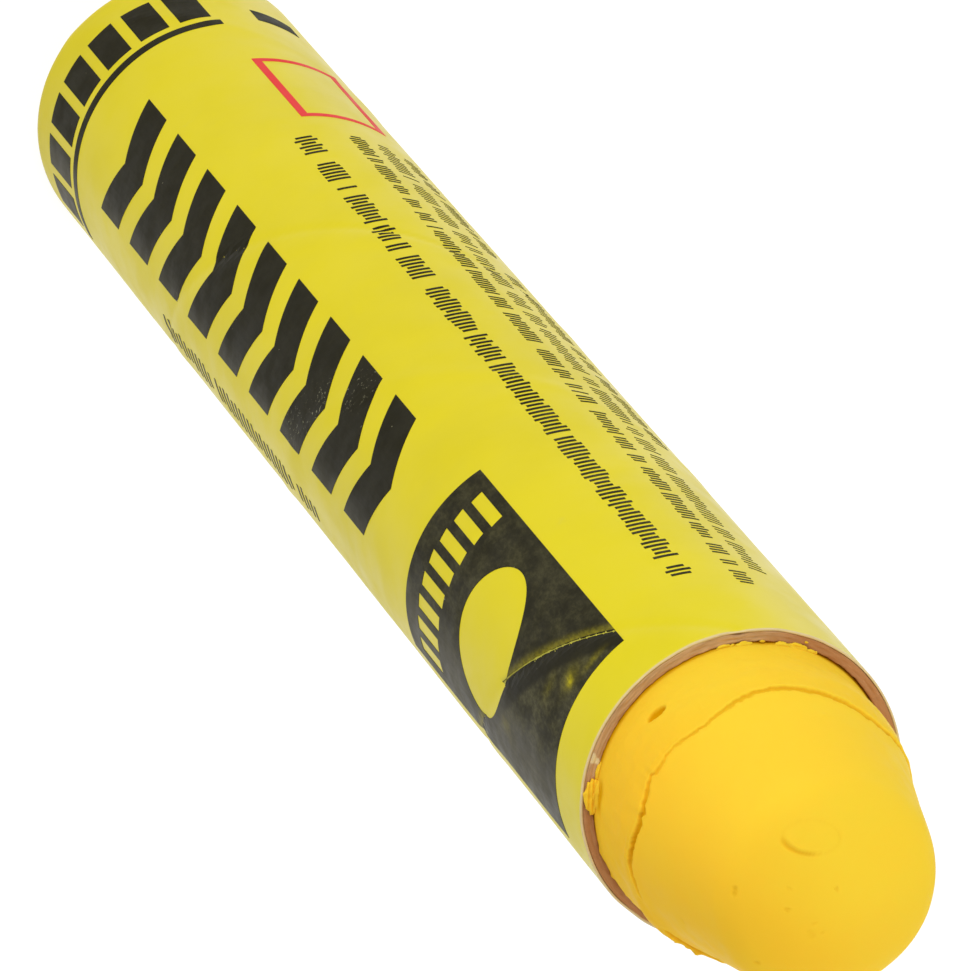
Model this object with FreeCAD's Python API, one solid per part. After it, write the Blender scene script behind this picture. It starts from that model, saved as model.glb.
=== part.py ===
"""Solid paint marker: a cast stick of paint in a spiral-wound cardboard sleeve.

The marker stands on its rear end at z = 0 and points along +Z. Its front, the
side that carries the main print, faces -Y. Lengths are in millimetres, angles
in degrees. An angle "across" is counted round the barrel from the front and is
positive towards +X. A height "above the mouth" starts at the sleeve's open end.
"""
import FreeCAD, Part
import math
import os

# Sleeve and label
SLEEVE_LENGTH = 104.4
SLEEVE_DIAMETER = 17.14
SLEEVE_WALL = 0.57
LABEL_THICKNESS = 0.13
GLUE_FILM = 0.03
LAP_WIDTH = 6.0
LAP_RAMP = 0.8

# Seam of the sleeve's outer ply, a shallow helical groove under the label
PLY_SEAM_PITCH = 59.8
PLY_SEAM_WIDTH = 0.45
PLY_SEAM_DEPTH = 0.12
PLY_SEAM_HEIGHT_AT_FRONT = 98.6

# Paint inside the sleeve, shrunk away from one side near the mouth
REAR_RECESS = 0.8
SHRINK_DEPTH = 2.6
SHRINK_GAP = 0.22
SHRINK_CLEARANCE = 0.03
SHRINK_SIDE_ANGLE = -100.0

# Collar of paint that stands out of the mouth, with an uneven flash edge
COLLAR_UNDER_BORE = 0.16
COLLAR_TAPERED = 1.63
FLASH_HEIGHT = 5.23
FLASH_PROUD = 0.13
FLASH_UNDERCUT = 1.0
LEDGE_RISE = 0.2
FLASH_POINTS = 40

# Moulded nose
NOSE_HEIGHT = 16.25
NOSE_CONE_OVER_BORE = 0.62
NOSE_TAPER_ANGLE = 11.8
NOSE_SHOULDER_RADIUS = 3.45
NOSE_TIP_UNDER_BORE = 0.4
NOSE_ROOT_DEPTH = 1.0

# Marks that casting left on the paint
SPRUE_MARK_DIAMETER = 2.4
SPRUE_MARK_DEPTH = 0.12
SPRUE_MARK_HEIGHT = 15.05
SPRUE_MARK_ANGLE = -15.0
SPRUE_MARK_LEAN_ANGLE = 3.0
PIT_RADIUS = 0.2
PIT_LENGTH = 1.1
PIT_DEPTH = 0.3
PIT_HEIGHT = 2.2
PIT_ANGLE = 7.0
PIT_DROP_ANGLE = 13.0
RIM_FLASH_ROOT = 0.05
RIM_FLASH_HEIGHT = 0.4
RIM_FLASH_CLEARANCE = 0.02

# Black print: chevrons along the barrel
INK_THICKNESS = 0.05
CHEVRON_COUNT = 9
CHEVRON_START = 14.1
CHEVRON_PITCH = 6.1
CHEVRON_BAR = 3.7
CHEVRON_POINT = 2.4
CHEVRON_LOW_ANGLE = 4.6
CHEVRON_HIGH_ANGLE = 52.7

# Black print: panel by the mouth, with a clear dot and a ladder of clear rungs
PANEL_LENGTH = 26.6
PANEL_END_MARGIN = 4.1
PANEL_LOW_ANGLE = -1.2
PANEL_HIGH_ANGLE = 77.5
PANEL_TAIL_OFFSET = 2.2
PANEL_DOT_DIAMETER = 8.0
PANEL_DOT_FROM_END = 12.9
PANEL_DOT_ANGLE = 38.0
RUNG_COUNT = 8
RUNG_LENGTH = 3.6
RUNG_WIDTH = 0.8
RUNG_INSET = 2.2
RUNG_FIRST_ANGLE = 6.0
RUNG_STEP_ANGLE = 9.0

# Black print: rows of dashes in place of small print
TEXT_START = 28.5
WORD_GAP = 0.75
WORD_SHORTEST = 1.3
WORD_STEP = 0.95

# Black print: a line round the tail with blocks below it
TAIL_LINE_HEIGHT = 8.0
TAIL_LINE_WIDTH = 1.0
TAIL_LINE_START_ANGLE = -39.0
TAIL_BLOCK_HEIGHT = 2.8
TAIL_BLOCK_WIDTH = 4.5
TAIL_BLOCK_COUNT = 7
TAIL_BLOCK_SPAN_ANGLE = 12.5
TAIL_BLOCK_GAP_ANGLE = 4.5
TAIL_TAB_HEIGHT = 5.5
TAIL_TAB_WIDTH = 1.9
TAIL_TAB_LOW_ANGLE = -75.0
TAIL_TAB_HIGH_ANGLE = -56.0

# Red print: an open frame
RED_FRAME_START = 15.0
RED_FRAME_LENGTH = 10.2
RED_FRAME_LOW_ANGLE = -74.0
RED_FRAME_HIGH_ANGLE = -38.0
RED_LINE_WIDTH = 0.65

# Flash edge as waves round the stick: (number of waves, size, phase)
FLASH_WAVES = (
    (1, 0.08, -148.0),
    (2, 0.26, -84.0),
    (3, 0.19, 31.0),
    (4, 0.50, 104.0),
    (5, 0.43, -72.0),
    (8, 0.15, -53.0),
    (9, 0.09, 33.0),
)

# Paint squeezed over the rim: (angle at its start, at its end, how far over the card)
RIM_FLASH = (
    (42.0, 56.0, 0.5),
    (-41.0, -27.0, 0.2),
    (-60.0, -49.0, 0.12),
)

# Rows of small print: (lowest angle, highest angle, end height, pattern offset)
TEXT_ROWS = (
    (-36.4, -28.2, 96.3, 0),
    (-56.3, -49.8, 97.7, 3),
    (-67.4, -60.2, 95.4, 5),
    (-78.0, -71.2, 75.2, 2),
    (67.0, 77.0, 57.0, 4),
)

# Sizes that follow from the ones above
SLEEVE_OUTER = SLEEVE_DIAMETER / 2
SLEEVE_BORE = SLEEVE_OUTER - SLEEVE_WALL
COLLAR_RADIUS = SLEEVE_BORE - COLLAR_UNDER_BORE
COLLAR_STRAIGHT = FLASH_HEIGHT - COLLAR_TAPERED
NOSE_CONE_RADIUS_AT_MOUTH = SLEEVE_BORE + NOSE_CONE_OVER_BORE
NOSE_TIP_RADIUS = SLEEVE_BORE - NOSE_TIP_UNDER_BORE
LABEL_INNER = SLEEVE_OUTER + GLUE_FILM
LABEL_OUTER = LABEL_INNER + LABEL_THICKNESS
INK_OUTER = LABEL_OUTER + INK_THICKNESS
TAPER_SLOPE = math.tan(math.radians(NOSE_TAPER_ANGLE))
REACH = 2 * SLEEVE_DIAMETER
AXIS = FreeCAD.Vector(0, 0, 1)


def heading(across):
    """Unit vector that leaves the axis at an angle across."""
    turn = math.radians(across)
    return FreeCAD.Vector(math.sin(turn), -math.cos(turn), 0)


def polar(radius, across, height):
    """Point at a radius, an angle across and a height above the rear end."""
    return heading(across) * radius + AXIS * height


def degrees_of(arc_length, radius):
    """Angle that an arc of a given length covers at a radius."""
    return math.degrees(arc_length / radius)


def cylinder(radius, start, end, centre=FreeCAD.Vector(0, 0, 0)):
    return Part.makeCylinder(radius, end - start, centre + AXIS * start)


def tube(outer, bore, length):
    return cylinder(outer, 0, length).cut(cylinder(bore, 0, length))


def line(start, end):
    return Part.LineSegment(start, end).toShape()


def arc(start, middle, end):
    return Part.Arc(start, middle, end).toShape()


def barrel_arc(radius, start, end, height):
    middle = (start + end) / 2
    points = [polar(radius, angle, height) for angle in (start, middle, end)]
    return arc(*points)


def sector(inner, outer, low, high, start, end):
    """Curved strip between two radii, two angles across and two heights."""
    outline = Part.Wire([
        barrel_arc(outer, low, high, start),
        line(polar(outer, high, start), polar(inner, high, start)),
        barrel_arc(inner, high, low, start),
        line(polar(inner, low, start), polar(outer, low, start)),
    ])
    return Part.Face(outline).extrude(AXIS * (end - start))


def cone_radius(height):
    """Radius of the nose's cone at a height above the mouth."""
    return NOSE_CONE_RADIUS_AT_MOUTH - height * TAPER_SLOPE


class NoseProfile:
    """Cone, shoulder arc and tip arc of the nose, tangent to each other.

    Radii are from the axis and heights from the mouth.
    """

    def __init__(self):
        taper = math.radians(NOSE_TAPER_ANGLE)
        self.tip_centre = NOSE_HEIGHT - NOSE_TIP_RADIUS
        reach = NOSE_TIP_RADIUS - NOSE_SHOULDER_RADIUS
        offset = cone_radius(self.tip_centre) - NOSE_SHOULDER_RADIUS / math.cos(taper)
        spread = 1 + TAPER_SLOPE ** 2
        square = (offset * TAPER_SLOPE) ** 2 - spread * (offset ** 2 - reach ** 2)
        rise = (offset * TAPER_SLOPE + math.sqrt(square)) / spread
        self.shoulder_centre = (offset - rise * TAPER_SLOPE, self.tip_centre + rise)
        self.start_angle = taper
        self.join_angle = math.atan2(rise, self.shoulder_centre[0])

    def shoulder(self, angle):
        radius, height = self.shoulder_centre
        radius += NOSE_SHOULDER_RADIUS * math.cos(angle)
        height += NOSE_SHOULDER_RADIUS * math.sin(angle)
        return radius, height

    def tip(self, angle):
        radius = NOSE_TIP_RADIUS * math.cos(angle)
        return radius, self.tip_centre + NOSE_TIP_RADIUS * math.sin(angle)

    def surface(self, height):
        """Radius at a height, and the angle by which the surface faces upwards."""
        if height >= self.tip(self.join_angle)[1]:
            angle = math.asin((height - self.tip_centre) / NOSE_TIP_RADIUS)
            return self.tip(angle)[0], angle
        if height >= self.shoulder(self.start_angle)[1]:
            angle = math.asin((height - self.shoulder_centre[1]) / NOSE_SHOULDER_RADIUS)
            return self.shoulder(angle)[0], angle
        return cone_radius(height), self.start_angle


PROFILE = NoseProfile()


def in_section(radius_and_height):
    """Point of the turned section, from a radius and a height above the mouth."""
    radius, height = radius_and_height
    return FreeCAD.Vector(radius, 0, SLEEVE_LENGTH + height)


def nose():
    """Moulded nose, turned about the axis, from its root inside the collar."""
    root_radius = COLLAR_RADIUS - FLASH_PROUD
    root_top = (NOSE_CONE_RADIUS_AT_MOUTH - root_radius) / TAPER_SLOPE
    root_floor = COLLAR_STRAIGHT - NOSE_ROOT_DEPTH
    middle = (PROFILE.start_angle + PROFILE.join_angle) / 2
    tip_middle = (PROFILE.join_angle + math.pi / 2) / 2
    floor = in_section((0, root_floor))
    foot = in_section((root_radius, root_floor))
    root = in_section((root_radius, root_top))
    cone_end = in_section(PROFILE.shoulder(PROFILE.start_angle))
    shoulder_end = in_section(PROFILE.shoulder(PROFILE.join_angle))
    pole = in_section((0, NOSE_HEIGHT))
    outline = Part.Wire([
        line(floor, foot),
        line(foot, root),
        line(root, cone_end),
        arc(cone_end, in_section(PROFILE.shoulder(middle)), shoulder_end),
        arc(shoulder_end, in_section(PROFILE.tip(tip_middle)), pole),
        line(pole, floor),
    ])
    return Part.Face(outline).revolve(FreeCAD.Vector(0, 0, 0), AXIS, 360)


def flash_height(across):
    """Height of the collar's edge above the mouth, at an angle across."""
    waves = [
        size * math.cos(math.radians(count * across - phase))
        for count, size, phase in FLASH_WAVES
    ]
    return FLASH_HEIGHT + sum(waves)


def disc_wire(radius, height, centre=FreeCAD.Vector(0, 0, 0)):
    """Circle round a centre, at a height above the mouth."""
    middle = centre + AXIS * (SLEEVE_LENGTH + height)
    return Part.Wire(Part.Circle(middle, AXIS, radius).toShape())


def flash_edge():
    """Closed wavy wire, a little proud of the nose, that ends the collar."""
    points = []
    for step in range(FLASH_POINTS):
        # The circles that it is lofted to start on +X, 90 degrees across
        across = 90 + 360.0 * step / FLASH_POINTS
        height = flash_height(across)
        radius = cone_radius(height) + FLASH_PROUD
        points.append(polar(radius, across, SLEEVE_LENGTH + height))
    curve = Part.BSplineCurve()
    curve.interpolate(Points=points, PeriodicFlag=True)
    return Part.Wire(curve.toShape())


def collar():
    """Paint between the sleeve's bore and the nose, loose in the mouth on one side."""
    mouth_radius = SLEEVE_BORE - (SHRINK_GAP + SHRINK_CLEARANCE) / 2
    shift = (SHRINK_GAP - SHRINK_CLEARANCE) / 2
    mouth_centre = heading(SHRINK_SIDE_ANGLE) * -shift
    foot = cylinder(
        mouth_radius, SLEEVE_LENGTH - SHRINK_DEPTH, SLEEVE_LENGTH, mouth_centre
    )
    shoulder = disc_wire(COLLAR_RADIUS, COLLAR_STRAIGHT)
    skirt = Part.makeLoft([disc_wire(mouth_radius, 0, mouth_centre), shoulder], True, True)
    ledge_foot = disc_wire(COLLAR_RADIUS - FLASH_UNDERCUT, COLLAR_STRAIGHT + LEDGE_RISE)
    lip = Part.makeLoft([shoulder, flash_edge(), ledge_foot], True, True)
    return [foot, skirt.cut(pit()), lip]


def rim_flash(start, end, lap):
    """Flake of paint that was squeezed over the sleeve's rim."""
    inner = SLEEVE_BORE - SHRINK_GAP - RIM_FLASH_ROOT
    outer = SLEEVE_BORE + lap
    floor = SLEEVE_LENGTH + RIM_FLASH_CLEARANCE
    top = floor + RIM_FLASH_HEIGHT
    chamfer = min(lap, RIM_FLASH_HEIGHT) / 2
    section = Part.makePolygon([
        polar(inner, start, floor),
        polar(outer, start, floor),
        polar(outer, start, top - chamfer),
        polar(outer - chamfer, start, top),
        polar(inner, start, top),
        polar(inner, start, floor),
    ])
    return Part.Face(section).revolve(FreeCAD.Vector(0, 0, 0), AXIS, end - start)


def pit():
    """Long hole with round ends, pressed into the collar across it."""
    facing = heading(PIT_ANGLE)
    drop = FreeCAD.Rotation(facing, -PIT_DROP_ANGLE)
    across = drop.multVec(AXIS.cross(facing))
    side = drop.multVec(AXIS) * PIT_RADIUS
    rise = across * (PIT_LENGTH / 2 - PIT_RADIUS)
    tip = across * (PIT_LENGTH / 2)
    foot = facing * (COLLAR_RADIUS - PIT_DEPTH)
    middle = foot + AXIS * (SLEEVE_LENGTH + PIT_HEIGHT)
    outline = Part.Wire([
        line(middle + side - rise, middle + side + rise),
        arc(middle + side + rise, middle + tip, middle - side + rise),
        line(middle - side + rise, middle - side - rise),
        arc(middle - side - rise, middle - tip, middle + side - rise),
    ])
    return Part.Face(outline).extrude(facing * PIT_DEPTH * 2)


def on_nose(height, across):
    """Point on the nose and the direction in which the surface faces there."""
    radius, angle = PROFILE.surface(height)
    facing = heading(across) * math.cos(angle) + AXIS * math.sin(angle)
    return polar(radius, across, SLEEVE_LENGTH + height), facing


def sprue_mark():
    """Disc that presses a shallow, slightly leaning circle into the nose."""
    point, facing = on_nose(SPRUE_MARK_HEIGHT, SPRUE_MARK_ANGLE)
    side = facing.cross(AXIS).normalize()
    lean = FreeCAD.Rotation(side, SPRUE_MARK_LEAN_ANGLE)
    direction = lean.multVec(facing)
    foot = point - direction * SPRUE_MARK_DEPTH
    return Part.makeCylinder(SPRUE_MARK_DIAMETER / 2, SPRUE_MARK_DIAMETER, foot, direction)


def paint_stick():
    core = cylinder(SLEEVE_BORE, REAR_RECESS, SLEEVE_LENGTH - SHRINK_DEPTH)
    flakes = [rim_flash(*flake) for flake in RIM_FLASH]
    marked_nose = nose().cut(sprue_mark())
    return core.multiFuse(collar() + [marked_nose] + flakes)


def ply_seam():
    """Left-handed helical groove that starts on +X, just below the rear end."""
    over = PLY_SEAM_WIDTH * 4
    start = 90
    helix = Part.makeHelix(
        PLY_SEAM_PITCH, SLEEVE_LENGTH + 2 * over, SLEEVE_OUTER, 0, True
    )
    helix.translate(AXIS * -over)
    slope = math.atan2(PLY_SEAM_PITCH, 2 * math.pi * SLEEVE_OUTER)
    out = heading(start)
    along = out.cross(AXIS) * math.cos(slope) + AXIS * math.sin(slope)
    half = along.cross(out) * (PLY_SEAM_WIDTH / 2)
    deep = polar(SLEEVE_OUTER - PLY_SEAM_DEPTH, start, -over)
    proud = polar(SLEEVE_OUTER + PLY_SEAM_DEPTH, start, -over)
    section = Part.makePolygon([
        deep - half,
        deep + half,
        proud + half,
        proud - half,
        deep - half,
    ])
    groove = Part.Wire(helix).makePipeShell([section], True, True)
    turns_to_front = (PLY_SEAM_HEIGHT_AT_FRONT + over) / PLY_SEAM_PITCH - 0.25
    return groove, 360 * turns_to_front


def cardboard_sleeve():
    """Tube with its seam, turned so that the seam crosses the front where it should."""
    groove, turn = ply_seam()
    sleeve = tube(SLEEVE_OUTER, SLEEVE_BORE, SLEEVE_LENGTH).cut(groove)
    return sleeve.rotated(FreeCAD.Vector(0, 0, 0), AXIS, turn)


def paper_label():
    """Label wrapped once round the sleeve, its end lapped over its start behind."""
    wrap = tube(LABEL_OUTER, LABEL_INNER, SLEEVE_LENGTH)
    half = degrees_of(LAP_WIDTH, LABEL_OUTER) / 2
    ramp = degrees_of(LAP_RAMP, LABEL_OUTER)
    top = LABEL_OUTER + LABEL_THICKNESS
    middle_of_wrap = (LABEL_INNER + LABEL_OUTER) / 2
    lap = sector(middle_of_wrap, top, 180 - half, 180 + half, 0, SLEEVE_LENGTH)
    rise = Part.makePolygon([
        polar(middle_of_wrap, 180 + half, 0),
        polar(top, 180 + half, 0),
        polar(LABEL_OUTER, 180 + half + ramp, 0),
        polar(middle_of_wrap, 180 + half + ramp, 0),
        polar(middle_of_wrap, 180 + half, 0),
    ])
    slope = Part.Face(rise).extrude(AXIS * SLEEVE_LENGTH)
    return wrap.multiFuse([lap, slope]).removeSplitter()


def stamp(corners, across):
    """Straight prism through the barrel wall, seen along one heading.

    Each corner is an angle across and a height. Opposite sides of the barrel
    aren't reached, because the prism starts at the axis.
    """
    facing = heading(across)
    tangent = AXIS.cross(facing)
    points = []
    for angle, height in corners:
        offset = LABEL_OUTER * math.sin(math.radians(angle - across))
        points.append(tangent * offset + AXIS * height)
    return Part.Face(Part.makePolygon(points + points[:1])).extrude(facing * REACH)


def ink(low, high, start, end):
    return sector(LABEL_OUTER, INK_OUTER, low, high, start, end)


def chevrons():
    """Row of arrow bars that point to the nose."""
    middle = (CHEVRON_LOW_ANGLE + CHEVRON_HIGH_ANGLE) / 2
    bars = []
    for number in range(CHEVRON_COUNT):
        start = CHEVRON_START + number * CHEVRON_PITCH
        outline = [
            (CHEVRON_LOW_ANGLE, start),
            (middle, start + CHEVRON_POINT),
            (CHEVRON_HIGH_ANGLE, start),
            (CHEVRON_HIGH_ANGLE, start + CHEVRON_BAR),
            (middle, start + CHEVRON_POINT + CHEVRON_BAR),
            (CHEVRON_LOW_ANGLE, start + CHEVRON_BAR),
        ]
        film = ink(CHEVRON_LOW_ANGLE, CHEVRON_HIGH_ANGLE, start, start + CHEVRON_POINT + CHEVRON_BAR)
        bars.append(film.common(stamp(outline, middle)))
    return bars


def panel():
    """Dark panel by the mouth: leaning tail edge, clear dot, ladder of clear rungs."""
    end = SLEEVE_LENGTH - PANEL_END_MARGIN
    start = end - PANEL_LENGTH
    middle = (PANEL_LOW_ANGLE + PANEL_HIGH_ANGLE) / 2
    film = ink(PANEL_LOW_ANGLE, PANEL_HIGH_ANGLE, start, end)
    outline = [
        (PANEL_LOW_ANGLE, start + PANEL_TAIL_OFFSET),
        (PANEL_HIGH_ANGLE, start),
        (PANEL_HIGH_ANGLE, end),
        (PANEL_LOW_ANGLE, end),
    ]
    film = film.common(stamp(outline, middle))
    dot_centre = AXIS * (end - PANEL_DOT_FROM_END)
    dot = Part.makeCylinder(
        PANEL_DOT_DIAMETER / 2, REACH, dot_centre, heading(PANEL_DOT_ANGLE)
    )
    film = film.cut(dot)
    half = degrees_of(RUNG_WIDTH, LABEL_OUTER) / 2
    for number in range(RUNG_COUNT):
        across = RUNG_FIRST_ANGLE + number * RUNG_STEP_ANGLE
        lean = PANEL_TAIL_OFFSET * (PANEL_HIGH_ANGLE - across) / (PANEL_HIGH_ANGLE - PANEL_LOW_ANGLE)
        foot = start + lean + RUNG_INSET
        rung = [
            (across - half, foot),
            (across + half, foot),
            (across + half, foot + RUNG_LENGTH),
            (across - half, foot + RUNG_LENGTH),
        ]
        film = film.cut(stamp(rung, across))
    return film.Solids


def text_row(low, high, end, offset):
    """Row of dashes of uneven length, one for each word."""
    dashes = []
    start = TEXT_START
    number = offset
    while start < end - WORD_SHORTEST:
        length = WORD_SHORTEST + WORD_STEP * (number * 5 % 7)
        dashes.append(ink(low, high, start, min(start + length, end)))
        start += length + WORD_GAP
        number += 1
    return dashes


def tail_marks():
    """Line round the tail, a run of blocks below it and a small tab beside them."""
    first = TAIL_LINE_START_ANGLE + TAIL_BLOCK_GAP_ANGLE / 2
    pitch = TAIL_BLOCK_SPAN_ANGLE + TAIL_BLOCK_GAP_ANGLE
    line_end = TAIL_LINE_START_ANGLE + TAIL_BLOCK_COUNT * pitch
    line_top = TAIL_LINE_HEIGHT + TAIL_LINE_WIDTH
    tab_top = TAIL_TAB_HEIGHT + TAIL_TAB_WIDTH
    marks = [
        ink(TAIL_LINE_START_ANGLE, line_end, TAIL_LINE_HEIGHT, line_top),
        ink(TAIL_TAB_LOW_ANGLE, TAIL_TAB_HIGH_ANGLE, TAIL_TAB_HEIGHT, tab_top),
    ]
    block_top = TAIL_BLOCK_HEIGHT + TAIL_BLOCK_WIDTH
    for number in range(TAIL_BLOCK_COUNT):
        low = first + number * pitch
        marks.append(ink(low, low + TAIL_BLOCK_SPAN_ANGLE, TAIL_BLOCK_HEIGHT, block_top))
    return marks


def black_print():
    films = chevrons() + panel() + tail_marks()
    for row in TEXT_ROWS:
        films += text_row(*row)
    return Part.makeCompound(films)


def red_print():
    """Open frame with straight sides."""
    inset = degrees_of(RED_LINE_WIDTH, LABEL_OUTER)
    end = RED_FRAME_START + RED_FRAME_LENGTH
    frame = ink(RED_FRAME_LOW_ANGLE, RED_FRAME_HIGH_ANGLE, RED_FRAME_START, end)
    window = sector(
        SLEEVE_OUTER,
        INK_OUTER + INK_THICKNESS,
        RED_FRAME_LOW_ANGLE + inset,
        RED_FRAME_HIGH_ANGLE - inset,
        RED_FRAME_START + RED_LINE_WIDTH,
        end - RED_LINE_WIDTH,
    )
    return frame.cut(window)


PIECES = {
    "paint_stick": paint_stick,
    "cardboard_sleeve": cardboard_sleeve,
    "paper_label": paper_label,
    "black_print": black_print,
    "red_print": red_print,
}

os.makedirs("parts", exist_ok=True)
for name, make in PIECES.items():
    shape = make()
    shape.exportStep(f"parts/{name}.step")
    print(f"{name}: {len(shape.Solids)} solids, {shape.Volume:.2f} mm3, valid {shape.isValid()}")
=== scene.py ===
import math

import bpy
from bpy.props import FloatProperty, FloatVectorProperty, IntProperty, PointerProperty
from mathutils import Matrix, Vector, noise
from mathutils.geometry import delaunay_2d_cdt


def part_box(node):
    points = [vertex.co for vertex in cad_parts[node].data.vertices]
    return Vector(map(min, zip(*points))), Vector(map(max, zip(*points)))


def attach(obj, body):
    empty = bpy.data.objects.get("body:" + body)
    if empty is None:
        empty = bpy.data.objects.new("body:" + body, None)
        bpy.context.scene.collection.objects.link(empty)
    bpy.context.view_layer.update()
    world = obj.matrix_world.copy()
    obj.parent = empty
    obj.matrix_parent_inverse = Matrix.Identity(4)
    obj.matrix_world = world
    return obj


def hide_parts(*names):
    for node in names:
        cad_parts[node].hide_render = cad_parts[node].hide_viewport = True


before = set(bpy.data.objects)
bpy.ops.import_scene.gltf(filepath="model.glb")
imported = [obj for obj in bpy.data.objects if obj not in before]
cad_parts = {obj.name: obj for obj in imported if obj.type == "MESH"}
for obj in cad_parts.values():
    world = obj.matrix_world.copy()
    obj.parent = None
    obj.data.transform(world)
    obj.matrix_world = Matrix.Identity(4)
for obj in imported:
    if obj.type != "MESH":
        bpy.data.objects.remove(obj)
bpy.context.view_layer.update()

bl_info = {
    "name": "Solid Paint Marker",
    "version": (1, 0, 0),
    "blender": (4, 5, 0),
    "location": "3D View > Sidebar > Paint Marker",
    "description": "Builds a stick of solid paint in a labelled cardboard sleeve",
    "category": "Add Mesh",
}

# Lengths are in millimetres unless a name ends in _M, and are multiplied by MM where
# Blender takes metres. Angles "across" are in degrees round the barrel, from the front
# (-Y), positive towards +X. Heights "above the mouth" start at the sleeve's open end.
MM = 0.001
LABEL_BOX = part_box("paper_label")
SLEEVE_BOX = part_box("cardboard_sleeve")
PAINT_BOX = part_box("paint_stick")
LABEL_RADIUS = LABEL_BOX[1].x / MM
SLEEVE_RADIUS = SLEEVE_BOX[1].x / MM
SLEEVE_LENGTH = SLEEVE_BOX[1].z / MM
NOSE_HEIGHT = PAINT_BOX[1].z / MM - SLEEVE_LENGTH
SLEEVE_WALL = 0.57
LABEL_THICKNESS = 0.13
BORE = SLEEVE_RADIUS - SLEEVE_WALL
REAR_RECESS = 0.8

# Spiral seams of the sleeve's outer and inner ply
SEAM_PITCH = 59.8
SEAM_HEIGHT = 98.6
INNER_SEAM_OFFSET = 23.2


# Sizes and colours that a user can change

def length(name, description, value):
    return FloatProperty(
        name=name, description=description, default=value * MM, unit="LENGTH", precision=6,
    )


def power(name, description, value):
    return FloatProperty(name=name, description=description, default=value, unit="POWER")


def colour(name, description, value):
    return FloatVectorProperty(
        name=name, description=description, subtype="COLOR", size=3,
        min=0.0, max=1.0, default=value,
    )


class MarkerSizes(bpy.types.PropertyGroup):
    seam_pitch: length("Seam Pitch", "Rise of the sleeve's spiral seam in one turn", SEAM_PITCH)
    seam_height: length("Seam Height", "Height at which the seam crosses the front", SEAM_HEIGHT)
    seam_dip: length("Seam Dip", "How far the label sinks into the seam", 0.07)
    ink_thickness: length("Ink Thickness", "Height of the printed ink above the label", 0.02)
    collar_roughness: length("Collar Roughness", "Size of the lumps on the paint's collar", 0.045)
    flash_proud: length("Flash Proud", "How far the collar's edge stands over the nose", 0.13)
    crumb_seed: IntProperty(
        name="Crumb Seed", description="Arrangement of the crumbs on the rim", default=7,
    )


class MarkerColours(bpy.types.PropertyGroup):
    paint: colour("Paint", "Solid paint in full light", (0.95, 0.645, 0.038))
    # Colour of the paint in painted shade: creases, the crevice, pits, the gap at the mouth and
    # under flakes
    painted_shade_colour: colour("Paint, Deep", "Solid paint in creases", (0.72, 0.35, 0.0))
    label: colour("Label", "Printed ground of the label", (0.765, 0.64, 0.004))
    paper: colour("Paper", "Cut edge of the label paper", (0.79, 0.66, 0.38))
    card: colour("Card", "Kraft card of the sleeve", (0.655, 0.405, 0.20))
    ink: colour("Ink", "Black printing ink", (0.015, 0.013, 0.005))
    rubbed_ink: colour("Rubbed Ink", "Ink that handling has thinned", (0.115, 0.105, 0.045))
    red: colour("Red", "Red printing ink", (0.80, 0.05, 0.05))


class MarkerStudio(bpy.types.PropertyGroup):
    key_power: power("Key Power", "Power of the large soft lamp", 2.35)
    fill_power: power("Fill Power", "Power of the soft lamp on the other side", 0.6)
    back_power: power("Back Power", "Power of the soft lamp behind the nose", 1.95)
    ambient: FloatProperty(
        name="Ambient", description="Brightness of the surroundings that light the marker",
        default=0.53, min=0.0, max=2.0,
    )


# Node helpers

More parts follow.
